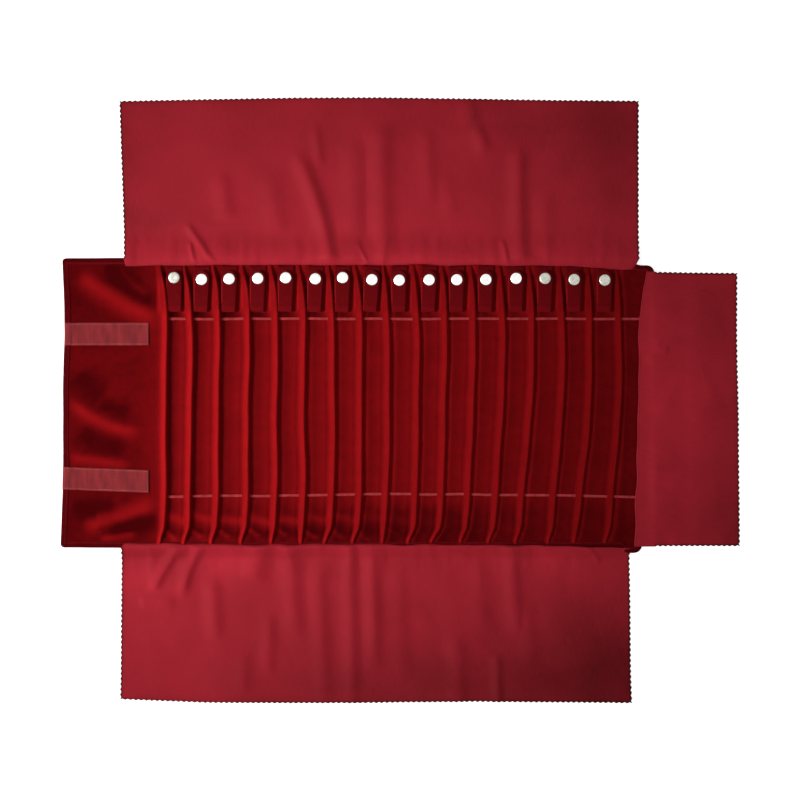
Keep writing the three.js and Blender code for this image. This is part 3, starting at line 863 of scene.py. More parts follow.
def ribbed_material(name, dark, light, pitch, direction):
    """Narrow woven band with ribs across or along it."""
    material, tree = new_material(name)
    place = cloth_map(tree)
    weave = {"Vector": place, "Scale": RIB_SCALE / pitch, "Distortion": 0.3}
    ribs = add_node(tree, "ShaderNodeTexWave", weave, bands_direction=direction).outputs["Fac"]
    fuzz = noise(tree, place, 1800)
    ribbed = ranged(tree, ribs, (0.1, 0.9), (0.35, 1.0))
    worn = ranged(tree, streaks(tree, place), (0.3, 0.7), (0.45, 1.35))
    share = math_node(tree, "MULTIPLY", ribbed, worn)
    share = summed(tree, share, ranged(tree, fuzz, (0.3, 0.7), (-0.12, 0.12)))
    colour = mixed_colour(tree, share, dark, light)
    height = summed(tree, ribs, math_node(tree, "MULTIPLY", fuzz, 0.4))
    surface(tree, colour, 0.75, height, (0.5, 0.0002), {"Specular IOR Level": 0.15, "Sheen Weight": 0.08})
    return material


def fibre_material(name, dark, light, scale):
    """Thread, hooks, loops and wadding: fine fibres of uneven shade."""
    material, tree = new_material(name)
    place = object_place(tree)
    fibres = noise(tree, place, scale, detail=3, roughness=0.6)
    worn = ranged(tree, streaks(tree, place), (0.3, 0.7), (-0.35, 0.85))
    share = summed(tree, ranged(tree, fibres, (0.3, 0.7), (0.1, 0.6)), worn)
    colour = mixed_colour(tree, share, dark, light)
    surface(tree, colour, 0.7, fibres, (0.4, 0.0002), {"Specular IOR Level": 0.2})
    return material


def nickel_material(name, dark, light, roughness):
    """Plated snap metal with rubbed patches and hairline scratches."""
    material, tree = new_material(name)
    place = object_place(tree)
    rubbed = noise(tree, place, 420, detail=3)
    scratches = noise(tree, drawn_out(tree, place, (1, 14, 1), turn=0.5), 900)
    colour = mixed_colour(tree, ranged(tree, rubbed, (0.3, 0.7)), dark, light)
    rough = ranged(tree, scratches, (0.35, 0.65), (roughness, roughness + 0.12))
    surface(tree, colour, rough, scratches, (0.06, 0.0001), {"Metallic": 1.0})
    return material


velvet = velvet_material(
    "dark_red_velvet", (0.045, 0.0009, 0.0016), (0.31, 0.0058, 0.0074), (0.8, 0.02, 0.03),
)
strap_velvet = velvet_material(
    "strap_velvet", (0.05, 0.0014, 0.0026), (0.24, 0.006, 0.008), (0.8, 0.04, 0.05),
)
cover_velvet = velvet_material(
    "cover_velvet", (0.04, 0.001, 0.002), (0.20, 0.004, 0.007), (0.8, 0.04, 0.06),
)
flap_cloth = flap_material(
    "crimson_lining", (0.08, 0.0028, 0.0040), (0.38, 0.0150, 0.0275), (0.9, 0.12, 0.16),
)
elastic_weave = ribbed_material(
    "rose_elastic", (0.165, 0.0070, 0.0082), (0.376, 0.0270, 0.0310), 0.7 * MM, "X",
)
tape_weave = ribbed_material("tape_weave", (0.11, 0.0075, 0.010), (0.25, 0.019, 0.023), 0.5 * MM, "Y")
hook_nylon = fibre_material("hook_nylon", (0.14, 0.011, 0.013), (0.385, 0.031, 0.034), 1500)
loop_nylon = fibre_material("loop_nylon", (0.16, 0.016, 0.022), (0.34, 0.04, 0.05), 1500)
thread = fibre_material("crimson_thread", (0.10, 0.003, 0.006), (0.26, 0.010, 0.016), 1200)
dark_thread = fibre_material("dark_thread", (0.05, 0.001, 0.002), (0.12, 0.003, 0.005), 1200)
rose_thread = fibre_material("rose_thread", (0.26, 0.045, 0.05), (0.50, 0.11, 0.12), 1200)
felt = fibre_material("felted_wadding", (0.50, 0.46, 0.40), (0.74, 0.70, 0.63), 900)
bright_nickel = nickel_material("bright_nickel", (0.86, 0.86, 0.84), (0.95, 0.95, 0.93), 0.2)
dull_nickel = nickel_material("dull_nickel", (0.40, 0.41, 0.35), (0.56, 0.56, 0.48), 0.34)


# Camera, table and light

def top_camera():
    data = bpy.data.cameras.new("top_camera")
    data.lens = LENS
    data.sensor_width = SENSOR
    camera = placed("top_camera", data)
    camera.location = (0, 0, floor_z + IMAGE_WIDTH * PIXEL * LENS / SENSOR)
    bpy.context.scene.camera = camera


def seen_ray(tree):
    """1 where the eye, a mirror or glass looks straight at the surface."""
    path = add_node(tree, "ShaderNodeLightPath").outputs
    seen = math_node(tree, "MAXIMUM", path["Is Camera Ray"], path["Is Glossy Ray"])
    return math_node(tree, "MAXIMUM", seen, path["Is Transmission Ray"])


def grey(level):
    return (level, level, level, 1)


def white_table():
    """Pale table that shows as white and keeps the soft shadow of the roll."""
    material, tree = new_material("white_table")
    plain = add_node(tree, "ShaderNodeBsdfDiffuse", {"Color": grey(TABLE_GREY)}).outputs[0]
    glow = add_node(tree, "ShaderNodeEmission", {"Color": grey(1), "Strength": TABLE_GLOW}).outputs[0]
    shade = add_node(tree, "ShaderNodeBsdfDiffuse", {"Color": grey(TABLE_SHADE)}).outputs[0]
    bright = add_node(tree, "ShaderNodeAddShader", {0: glow, 1: shade}).outputs[0]
    shown = add_node(tree, "ShaderNodeMixShader", {0: seen_ray(tree), 1: plain, 2: bright}).outputs[0]
    add_node(tree, "ShaderNodeOutputMaterial", {"Surface": shown})
    half = TABLE_SIZE / 2
    corners = [(-half, -half, 0), (half, -half, 0), (half, half, 0), (-half, half, 0)]
    make_piece("white_table", corners, [(0, 1, 2, 3)], material)


def pale_room():
    world = bpy.data.worlds.new("pale_room")
    world.use_nodes = True
    tree = world.node_tree
    tree.nodes.clear()
    soft = add_node(tree, "ShaderNodeBackground", {"Color": grey(1), "Strength": ROOM_STRENGTH}).outputs[0]
    white = add_node(tree, "ShaderNodeBackground", {"Color": grey(1), "Strength": 1.0}).outputs[0]
    shown = add_node(tree, "ShaderNodeMixShader", {0: seen_ray(tree), 1: soft, 2: white}).outputs[0]
    add_node(tree, "ShaderNodeOutputWorld", {"Surface": shown})
    bpy.context.scene.world = world


def soft_lamp(name, place, aim, size, power, spread=math.pi):
    data = bpy.data.lights.new(name, "AREA")
    data.size = size
    data.energy = power
    data.spread = spread
    lamp = placed(name, data)
    lamp.location = place
    lamp.rotation_mode = "QUATERNION"
    lamp.rotation_quaternion = (Vector(aim) - Vector(place)).to_track_quat("-Z", "Y")


top_camera()
white_table()
pale_room()
soft_lamp("key_lamp", KEY_PLACE, KEY_AIM, KEY_SIZE, KEY_POWER, KEY_SPREAD)
soft_lamp("fill_lamp", FILL_PLACE, (0, 0, 0), FILL_SIZE, FILL_POWER)
bpy.context.scene.view_settings.view_transform = "Standard"


# Repeats

def new_tree(name, **sockets):
    tree = bpy.data.node_groups.new(name, "GeometryNodeTree")
    tree.interface.new_socket("Geometry", in_out="OUTPUT", socket_type="NodeSocketGeometry")
    for socket, kind in {"Geometry": "Geometry", **sockets, "Material": "Material"}.items():
        tree.interface.new_socket(socket, in_out="INPUT", socket_type=f"NodeSocket{kind}")
    return tree, tree.nodes.new("NodeGroupInput").outputs


def close_tree(tree, instances, material):
    real = add_node(tree, "GeometryNodeRealizeInstances", {0: instances}).outputs[0]
    smooth = add_node(tree, "GeometryNodeSetShadeSmooth", {"Geometry": real}).outputs[0]
    made = add_node(tree, "GeometryNodeSetMaterial", {"Geometry": smooth, "Material": material}).outputs[0]
    add_node(tree, "NodeGroupOutput", {"Geometry": made})


def stitch_row_tree():
    """Stitches at an even pitch along every edge of a path."""
    tree, given = new_tree("stitch_row", Pitch="Float", Length="Float", Width="Float")
    path = add_node(tree, "GeometryNodeMeshToCurve", {"Mesh": given["Geometry"]}).outputs[0]
    inputs = {"Curve": path, "Length": given["Pitch"]}
    places = add_node(tree, "GeometryNodeCurveToPoints", inputs, mode="LENGTH")
    bead = add_node(tree, "GeometryNodeMeshUVSphere", {"Segments": 6, "Rings": 4, "Radius": 0.5}).outputs[0]
    sizes = {0: given["Length"], 1: given["Width"], 2: given["Width"]}
    size = add_node(tree, "ShaderNodeCombineXYZ", sizes).outputs[0]
    stitch = add_node(tree, "GeometryNodeTransform", {"Geometry": bead, "Scale": size}).outputs[0]
    tangent = {"Vector": places.outputs["Tangent"]}
    heading = add_node(tree, "FunctionNodeAlignRotationToVector", tangent, axis="X")
    inputs = {"Points": places.outputs["Points"], "Instance": stitch, "Rotation": heading.outputs[0]}
    row = add_node(tree, "GeometryNodeInstanceOnPoints", inputs).outputs[0]
    close_tree(tree, row, given["Material"])
    return tree


def scatter_tree():
    """One small shape repeated on every point, turned at random up to an angle."""
    tree, given = new_tree("scatter", Shape="Object", Turn="Float", Seed="Int")
    shape = add_node(tree, "GeometryNodeObjectInfo", {"Object": given["Shape"]}).outputs["Geometry"]
    inputs = {"Max": given["Turn"], "Seed": given["Seed"]}
    turn = add_node(tree, "FunctionNodeRandomValue", inputs, data_type="FLOAT")
    spin = add_node(tree, "ShaderNodeCombineXYZ", {2: turn.outputs["Value"]}).outputs[0]
    inputs = {"Points": given["Geometry"], "Instance": shape, "Rotation": spin}
    copies = add_node(tree, "GeometryNodeInstanceOnPoints", inputs).outputs[0]
    close_tree(tree, copies, given["Material"])
    return tree


def made_by_tree(name, tree, points, edges, settings):
    """Plain mesh piece that a tree makes from points and edges."""
    mesh = bpy.data.meshes.new(name)
    mesh.from_pydata([tuple(map(float, point)) for point in points], edges, [])
    source = placed(f"{name}_source", mesh)
    modifier = source.modifiers.new(name, "NODES")
    modifier.node_group = tree
    for item in tree.interface.items_tree:
        if item.in_out == "INPUT" and item.name in settings:
            modifier[item.identifier] = settings[item.name]
    bpy.context.view_layer.update()
    evaluated = source.evaluated_get(bpy.context.evaluated_depsgraph_get())
    piece = placed(name, bpy.data.meshes.new_from_object(evaluated))
    piece.data.name = name
    bpy.data.objects.remove(source)
    return piece


stitch_row = stitch_row_tree()
scatter = scatter_tree()


def stitches(name, paths, material, pitch=STITCH_PITCH, length=STITCH_LENGTH, width=THREAD_WIDTH):
    points = []
    edges = []
    for path in paths:
        first = len(points)
        points.extend(path)
        edges.extend((first + k, first + k + 1) for k in range(len(path) - 1))
    settings = {"Pitch": pitch, "Length": length, "Width": width, "Material": material}
    return made_by_tree(name, stitch_row, points, edges, settings)


def scattered(name, points, shape, turn, seed, material):
    settings = {"Shape": shape, "Turn": turn, "Seed": seed, "Material": material}
    piece = made_by_tree(name, scatter, points, [], settings)
    bpy.data.objects.remove(shape)
    return piece


def fixed(piece, slot, *nodes):
    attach(piece, "roll")
    if nodes:
        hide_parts(*nodes)
    return piece


# Cover with its turned hem

def body_outline(inset):
    """Rounded outline of the body at an inset, with evenly spaced points, anticlockwise."""
    left, right = (max(corner - inset, SHARP_CORNER) for corner in (LEFT_CORNER, RIGHT_CORNER))
    west, east = body_low.x + inset + left, body_high.x - inset - right
    south, north = body_low.y + inset, body_high.y - inset
    corners = (
        (np.array([west, south + left]), left), (np.array([east, south + right]), right),
        (np.array([east, north - right]), right), (np.array([west, north - left]), left),
    )
    length_steps = round((body_high.x - body_low.x) / OUTLINE_STEP)
    width_steps = round((body_high.y - body_low.y) / OUTLINE_STEP)
    points = []
    for side, steps in enumerate((length_steps, width_steps) * 2):
        start, start_radius = corners[side]
        end, end_radius = corners[(side + 1) % 4]
        heading = 90 * side - 90
        out = np.array([math.cos(math.radians(heading)), math.sin(math.radians(heading))])
        for step in range(steps):
            share = step / steps
            points.append((start + out * start_radius) * (1 - share) + (end + out * end_radius) * share)
        for step in range(CORNER_STEPS):
            angle = math.radians(heading + 90 * step / CORNER_STEPS)
            points.append(end + np.array([math.cos(angle), math.sin(angle)]) * end_radius)
    return np.array(points)


def cover():
    rings = []
    painted_light_rings = []
    for inset, height, lightened in HEM_SECTION:
        points = body_outline(inset * MM)
        slack = rippled(*points.T, HEM_SLACK, seed=11) + rippled(*points.T, HEM_PUCKERS, seed=12)
        slack = slack * (1 - smoothstep(*HEM_SLACK_FADE, inset))
        outwards = points / np.linalg.norm(points, axis=1, keepdims=True)
        x, y = out_of_square(*(points + outwards * slack[:, None]).T)
        lift = 1 + HEM_LIFT * uneven(x, y, HEM_LIFT_WAVE, seed=13) if height > HEM_FLAT else 1
        rings.append(np.stack([x, y, np.full(x.shape, height * MM) * lift], axis=1))
        # Painted light of each ring: darker over the hem, with a painted highlight on its inner lip
        painted_light_rings.append(np.full(x.shape, lightened))
    count = len(rings[0])
    last = (len(rings) - 1) * count
    faces = ring_faces(len(rings), count)
    faces.append(range(count - 1, -1, -1))
    faces.append(range(last, last + count))
    piece = make_piece("cover_with_hem", np.concatenate(rings), faces, cover_velvet)
    for face in piece.data.polygons[-2:]:
        face.use_smooth = False
    record_painted_light(piece, np.concatenate(painted_light_rings))
    return piece


def hem_stitches():
    x, y = out_of_square(*body_outline(HEM_STITCH_INSET).T)
    ring = np.stack([x, y, np.full(x.shape, HEM_TOP + HEM_STITCH_LIFT)], axis=1)
    return stitches("hem_stitches", [np.concatenate([ring, ring[:1]])], dark_thread)


# Wadding between cover and velvet

def wadding():
    low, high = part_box("padding")
    across = np.linspace(low.x, high.x, WADDING_COLUMNS)
    x, y = np.meshgrid(across, np.linspace(low.y, high.y, WADDING_ROWS))
    edge = from_edge(x, y, low.x, high.x, low.y, high.y)
    top = high.z - WADDING_EDGE_DROP * (1 - smoothstep(0, WADDING_EDGE, edge))
    top = top - WADDING_LUMPS * (1 + uneven(x, y, WADDING_LUMP_WAVE, seed=21))
    return thick_cloth("wadding", laid(x, y, top), WADDING_THICKNESS, felt, np.stack([x, y], axis=2))


# Velvet panel

def pleat_bow(index, y):
    """Sideways shift of a pleat, nothing at the straight line and most at its ends."""
    below = body_high.y - PLEAT_STRAIGHT_DROP - y
    width = body_high.y - body_low.y
    above_bow = PLEAT_BOW_TOP * (below / PLEAT_STRAIGHT_DROP) ** 2
    most = PLEAT_BOW_BOTTOM + PLEAT_BOW_GROWTH * index
    below_bow = most * (below / (width - PLEAT_STRAIGHT_DROP)) ** 2
    return -np.where(below < 0, above_bow, below_bow)


tab_middle_y = (tab_axis.y + strap_end) / 2
tab_bow = float(pleat_bow(0, np.array(tab_middle_y)))
lane_middles = np.array([middle.x - tab_bow for middle in tab_middles])
lane_steps = np.diff(lane_middles)
pleat_lines = np.concatenate([
    [lane_middles[0] - lane_steps[0] / 2],
    (lane_middles[1:] + lane_middles[:-1]) / 2,
    [lane_middles[-1] + lane_steps[-1] / 2],
])
last_pleat = len(pleat_lines) - 1


def closure_height(x, y):
    """Slack velvet of the closure end, which sinks into the wadding between its folds."""
    folds = folds_height(x, y, CLOSURE_FOLDS)
    return (1 - smoothstep(*CLOSURE_END, x)) * (folds - CLOSURE_SINK + rippled(x, y, CLOSURE_RIPPLE, seed=31))


def panel_floor(x, y):
    edge = from_edge(x, y, panel_low.x, panel_high.x, panel_low.y, panel_high.y)
    tuck = PANEL_TUCK * (1 - smoothstep(*PANEL_TUCK_EDGE, edge))
    dip = PANEL_DIP * (uneven(x, y, PANEL_DIP_WAVE, seed=32) - 1) * smoothstep(*LANES_START, x)
    return floor_z + closure_height(x, y) * smoothstep(0, CLOSURE_EDGE, edge) + dip - tuck


def closure_painted_light(x, y):
    """Painted light of the closure end: a painted highlight along its folds, painted shade in its hollows,
    and patches painted lighter or darker.
    """
    pile_and_painted_light = patches(x, y, CLOSURE_PATCHES)
    for line, height, width in CLOSURE_FOLDS:
        pile_and_painted_light += height / FULL_HIGHLIGHT_FOLD * fold_share(x, y, line, width * FOLD_HIGHLIGHT_WIDTH)
    for line, width in CLOSURE_HOLLOWS:
        pile_and_painted_light -= HOLLOW_PAINTED_SHADE * fold_share(x, y, line, width, lee=1.0)
    return pile_and_painted_light


def drawn(draw, *ranges):
    """A place drawn at random, with one value from each range."""
    return np.array([draw.uniform(*ends) for ends in ranges])


def across_lane(y, drift, band):
    """Soft band across a lane, moved up by a drift."""
    place, reach, most = band
    return most * np.exp(-(((y - place - drift) / reach) ** 2))


def lane_feet(x, y, draw):
    """Slack below the lower elastic: a raised band and a short slanting crease in each lane, with painted
    highlights along them, a painted shade band below, and painted shade over the feet.
    """
    count = len(pleat_lines)
    bows = np.array([float(pleat_bow(k, np.array(LANE_FOOT))) for k in range(count)])
    lines = pleat_lines + bows + np.array(PLEAT_FOOT_SHIFTS) * MM
    place = np.clip(np.interp(x, lines, np.arange(count)), 0, count - 1.01)
    lane = place.astype(int)
    slants = draw.uniform(*FOOT_SLANTS, count)
    levels = draw.uniform(*FOOT_LEVELS, count)
    drift = (slants[lane] * (0.5 - place + lane) + levels[lane]) * MM
    # Painted highlight band and painted shade band across each lane
    pile_and_painted_light = across_lane(y, drift, FOOT_PAINTED_HIGHLIGHT) + across_lane(y, FOOT_SHADE_DRIFT * drift, FOOT_PAINTED_SHADE)
    height = across_lane(y, drift, FOOT_RISE)
    for line in lines[:-1]:
        start = np.array([line / MM, 0]) + drawn(draw, *CREASE_START)
        end = start + drawn(draw, *CREASE_RUN)
        bend = (start + end) / 2 + drawn(draw, *CREASE_BEND)
        crease = fold_share(x, y, (start, bend, end), CREASE_WIDTH)
        height = np.maximum(height, draw.uniform(*CREASE_HEIGHT) * MM * crease)
        # Painted highlight along the crease
        pile_and_painted_light += CREASE_HIGHLIGHT * crease
    lanes = smoothstep(pleat_lines[0] - LANE_EDGE, pleat_lines[0] + LANE_EDGE, x)
    painted_feet_light = FOOT_PAINTED_STRENGTH * (1 - smoothstep(*FOOT_PAINTED_END, x))
    # Painted shade over the feet
    pressed_flat_and_painted_shade = FEET_PAINTED_SHADE * smoothstep(*FEET_SHADE_FROM, x) * smoothstep(*FEET_SHADE_TOP, y)
    pressed_flat_and_painted_shade = pressed_flat_and_painted_shade * (1 - FEET_SHADE_EASED * smoothstep(*FEET_SHADE_EASED_FROM, x))
    return height * lanes, pile_and_painted_light * painted_feet_light * lanes - pressed_flat_and_painted_shade


def slow_wave(y, lengths, draw):
    """Gentle wave up a pleat, of a length drawn from a range in mm."""
    return np.sin(y / (draw.uniform(*lengths) * MM) + draw.uniform(*SWAY_PHASES))


def pleat_course(index, y, draw):
    """Line of a pleat up the roll, with its bow, its drape, its sway and its hooked ends."""
    sway = PLEAT_SWAY * slow_wave(y, SWAY_LENGTHS, draw)
    sway += PLEAT_FINE_SWAY * slow_wave(y, FINE_SWAY_LENGTHS, draw)
    hook = PLEAT_END_SHIFTS[index] * MM - PLEAT_HOOK * draw.uniform(*PLEAT_HOOK_SHARES)
    hook = hook * (1 - smoothstep(0, PLEAT_HOOK_REACH, y - panel_low.y))
    top_hook = PLEAT_TOP_HOOK * (PLEAT_TOP_HOOK_LOSS * index / last_pleat - 1)
    top_hook = top_hook * (1 - smoothstep(*PLEAT_TOP_HOOK_REACH, panel_high.y - y))
    low = smoothstep(*PLEAT_DRAPE_CHANGE, y)
    drape = (PLEAT_SHIFTS[index] * (1 - low) + PLEAT_FOOT_SHIFTS[index] * low) * MM
    return pleat_lines[index] + pleat_bow(index, y) + drape + sway + hook + top_hook


def pleat_rise(along, y, draw):
    """Height of a pleat up the roll."""
    covered = PLEAT_COVERED * smoothstep(PLEAT_COVERED_FROM, 1, along)
    head = smoothstep(covered, covered + PLEAT_TAPER, panel_high.y - y)
    ends = np.minimum(head, smoothstep(*PLEAT_FOOT_TAPER, y - panel_low.y))
    height = pleat_height * (PLEAT_END_SHARE + (1 - PLEAT_END_SHARE) * ends) * (1 - PLEAT_LOWER * along)
    return height * (PLEAT_FULLNESS + PLEAT_WAVE * slow_wave(y, PLEAT_WAVE_LENGTHS, draw))


def lane_painted_light(share, along, before):
    """Painted light at a share of the way across a lane, between pleats at two shares along the roll: painted
    shade rising to light across it, and light lifting the left pleat's shadow.
    """
    fold = 1 - smoothstep(SHADOW_LIFT_START, left_to_right(before, SHADOW_LIFT_REACH), share)
    return left_to_right(along, LANE_PAINTED_SHADE) * (share - 0.5) + left_to_right(before, SHADOW_LIFT) * fold


def panel_columns(y, left, right, draw):
    """Columns of points from the closure end over each lane and pleat: X, rise and painted light."""
    flat = np.zeros(y.shape)
    at_head = smoothstep(*HEAD, y)
    at_seam = smoothstep(*HEAD_SEAM, y)
    # Painted light that lifts the shadow beside the straps, less near the seam
    head_shadow_lift = HEAD_SHADOW_LIFT * at_head * (1 - SEAM_LESS_LIFT * at_seam)
    # Painted shadow just below the straps
    below_strap = smoothstep(*SHADE_FOOT, y) * (1 - smoothstep(*SHADE_TOP, y))
    # Painted highlight at the pleats' lower ends
    pinch_highlight = PINCH_HIGHLIGHT * (1 - smoothstep(*PINCH_HIGHLIGHT_REACH, y - panel_low.y))
    full = smoothstep(*PLEAT_FULL_TOP, panel_high.y - y) * smoothstep(*PLEAT_FULL_FOOT, y - panel_low.y)
    width = PLEAT_SLIM + (1 - PLEAT_SLIM) * full
    left_shares = np.arange(LEFT_STEPS) / LEFT_STEPS
    lane_shares = np.arange(1, LANE_STEPS + 1) / (LANE_STEPS + 1)
    columns = []
    previous = np.full(y.shape, left)
    for index in range(last_pleat + 1):
        along = index / last_pleat
        before = (index - 1) / last_pleat
        middle = pleat_course(index, y, draw)
        height = pleat_rise(along, y, draw)
        foot = middle + PLEAT_SECTION[0][0] * MM * width
        for share in lane_shares if index else left_shares:
            if index:
                # Painted shade across the lane, light that lifts the shadows beside the pleat and strap, and
                # painted shadow below the strap
                pile_and_painted_light = LANE_LIGHTER + lane_painted_light(share, along, before)
                pile_and_painted_light = pile_and_painted_light + head_shadow_lift * smoothstep(*HEAD_SHADOW_LIFT_SIDE, share)
                pile_and_painted_light = pile_and_painted_light - left_to_right(along, STRAP_SHADE) * below_strap
            else:
                pile_and_painted_light = flat + CLOSURE_PILE * (1 - smoothstep(*CLOSURE_PILE_FADE, share))
            columns.append((previous * (1 - share) + foot * share, flat, pile_and_painted_light))
        # Painted highlight on the pleat, less at its head and under the top flap's edge, where shadow is
        # painted
        highlight = left_to_right(along, PLEAT_HIGHLIGHT) * (1 - HEAD_LESS_HIGHLIGHT * at_head - FLAP_EDGE_PAINTED_SHADOW * at_seam)
        for offset, rise, lightened in PLEAT_SECTION:
            shadow_lift = left_to_right(along, SHADOW_LIFT) * smoothstep(*PLEAT_SHADOW_SIDE, offset)
            strap_shadow_lift = head_shadow_lift * (1 - smoothstep(*PLEAT_STRAP_SHADOW_SIDE, offset))
            pile_and_painted_light = lightened * highlight + pinch_highlight * rise + shadow_lift + strap_shadow_lift
            columns.append((middle + offset * MM * width, height * rise, pile_and_painted_light))
        previous = columns[-1][0]
    for share in np.arange(1, RIGHT_STEPS + 1) / RIGHT_STEPS:
        columns.append((previous * (1 - share) + right * share, flat, flat + lane_painted_light(share, 1, 1)))
    return columns


def velvet_panel():
    draw = np.random.default_rng(5)
    overlap = panel_low.x - body_low.x - HEM_SLEEVE
    foot_rows = np.linspace(panel_low.y - overlap, FOOT_TOP, FOOT_ROWS, endpoint=False)
    up = np.concatenate([foot_rows, np.linspace(FOOT_TOP, panel_high.y + overlap, PANEL_ROWS)])
    columns = panel_columns(up, panel_low.x - overlap, panel_high.x + overlap, draw)
    x, rise, pile_and_painted_light = (np.stack(values, axis=1) for values in zip(*columns))
    y = np.repeat(up[:, None], x.shape[1], axis=1)
    slack, painted_feet_light = lane_feet(x, y, draw)
    upper = laid(x, y, panel_floor(x, y) + np.maximum(rise, slack))
    piece = thick_cloth("velvet_panel_cloth", upper, VELVET_THICKNESS, velvet, flat_from(upper))
    # Painted highlights and shade of the closure end, painted shade towards the right end, and the feet's
    # painted light
    pile_and_painted_light = pile_and_painted_light + closure_painted_light(x, y) - RIGHT_PAINTED_SHADE * smoothstep(*RIGHT_PAINTED_SHADE_FROM, x)
    record_painted_light(piece, pile_and_painted_light + painted_feet_light * (rise < FOOT_LOW))
    return piece


# Closure tape

def tape_surface(node, tilt, shift):
    """Grid of a tape's upper face, laid over the velvet and the hem."""
    low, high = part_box(node)
    u = np.linspace(low.x - TAPE_OVER_HEM, high.x - TAPE_TRIM, TAPE_COLUMNS)
    x, y = np.meshgrid(u, np.linspace(low.y, high.y, TAPE_ROWS))
    edge = from_edge(x, y, u[0], u[-1], low.y, high.y)
    y = y + shift + (x - low.x) * math.tan(tilt)
    rolled = TAPE_EDGE_DROP * (1 - smoothstep(0, TAPE_EDGE, edge))
    step_start, step_end = TAPE_HEM_STEP
    on_hem = (HEM_TOP - floor_z + TAPE_GAP) * (1 - smoothstep(low.x + step_start, low.x + step_end, x))
    over_edge = TAPE_END_DROP * (1 - smoothstep(u[0], u[0] + TAPE_END_REACH, x))
    velvet_top = np.maximum(panel_floor(np.maximum(x, panel_low.x), y), floor_z - TAPE_GAP)
    return laid(x, y, velvet_top + TAPE_LIFT + on_hem - over_edge - rolled)


def hook_shape():
    """One bent nylon hook, standing on its stem."""
    points = [(-HOOK_RADIUS, 0.0)]
    for angle in np.linspace(*HOOK_BEND, HOOK_BEND_STEPS):
        points.append((HOOK_RADIUS * math.cos(angle), HOOK_STEM + HOOK_RADIUS * math.sin(angle)))
    vertices = []
    for x, z in points:
        for angle in np.linspace(0, 2 * math.pi, HOOK_SIDES, endpoint=False):
            out = HOOK_WIRE * math.cos(angle)
            vertices.append((x + out, HOOK_WIRE * math.sin(angle), z + HOOK_SLANT * out))
    faces = ring_faces(len(points), HOOK_SIDES)
    faces.append(range(HOOK_SIDES - 1, -1, -1))
    faces.append(range(len(vertices) - HOOK_SIDES, len(vertices)))
    return make_piece("hook_shape", vertices, faces, hook_nylon)


def tape_points(upper, pitch, seed):
    """Places for hooks or loops, inside the tape's woven border."""
    draw = np.random.default_rng(seed)
    rows, columns, _ = upper.shape
    length = np.linalg.norm(upper[rows // 2, -1] - upper[rows // 2, 0])
    width = np.linalg.norm(upper[-1, columns // 2] - upper[0, columns // 2])
    points = []
    for a in np.arange(TAPE_BORDER + TAPE_BARE_END, length - TAPE_BORDER, pitch):
        for b in np.arange(TAPE_BORDER, width - TAPE_BORDER, pitch):
            column = (a + draw.uniform(-HOOK_JITTER, HOOK_JITTER) * pitch) / length * (columns - 1)
            row = (b + draw.uniform(-HOOK_JITTER, HOOK_JITTER) * pitch) / width * (rows - 1)
            c, r = int(min(column, columns - 2)), int(min(row, rows - 2))
            s, t = column - c, row - r
            here = upper[r, c] * (1 - s) * (1 - t) + upper[r, c + 1] * s * (1 - t)
            points.append(here + upper[r + 1, c] * (1 - s) * t + upper[r + 1, c + 1] * s * t)
    return points


def tape_border(upper):
    """Stitch paths round a tape, about a millimetre and a half in, and across it beside the hem."""
    lifted = upper + np.array([0, 0, TAPE_STITCH_LIFT])
    inner = lifted[1:-1, 1:-1]
    beside_hem = 6
    around = [*inner[0], inner[0, -1], *inner[1:, -1], inner[-1, -1], *inner[-1, :0:-1]]
    return [np.array(around), lifted[1:-1, beside_hem]]


def hook_strip(place, tilt, shift, seed):
    node = f"{place}_hook_strip"
    upper = tape_surface(node, tilt, shift)
    strip = thick_cloth(f"{place}_hook_tape", upper, TAPE_THICKNESS, tape_weave, flat_from(upper))
    fixed(strip, "hook_tape", node)
    points = tape_points(upper, HOOK_PITCH, seed)
    hooks = scattered(f"{place}_hooks", points, hook_shape(), HOOK_TURN, seed, hook_nylon)
    fixed(hooks, "hook_tape")
    border = stitches(f"{place}_hook_tape_stitches", tape_border(upper), rose_thread,
                      TAPE_STITCH_PITCH, TAPE_STITCH_LENGTH, TAPE_THREAD_WIDTH)
    fixed(border, "hook_tape")


def loop_strip(place, seed):
    """Mating tape on the underside, its loops facing down."""
    node = f"{place}_loop_strip"
    low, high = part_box(node)
    across = np.linspace(low.x, high.x, LOOP_TAPE_COLUMNS)
    x, y = np.meshgrid(across, np.linspace(low.y, high.y, TAPE_ROWS))
    edge = from_edge(x, y, low.x, high.x, low.y, high.y)
    z = high.z - LOOP_TAPE_SINK - LOOP_TAPE_EDGE_DROP * (1 - smoothstep(0, TAPE_EDGE, edge))
    upper = np.stack([x, y, z], axis=2)
    strip = thick_cloth(f"{place}_loop_tape", upper, LOOP_TAPE_THICKNESS, tape_weave, flat_from(upper))
    fixed(strip, "loop_tape", node)
    points = np.array(tape_points(upper, HOOK_PITCH, seed))
    points[:, 2] = low.z + LOOP_LIFT
    shape = hook_shape()
    for vertex in shape.data.vertices:
        vertex.co.z *= LOOP_FLATTEN
    loops = scattered(f"{place}_loops", points, shape, LOOP_TURN, seed, loop_nylon)
    fixed(loops, "loop_tape")


# Elastic bands

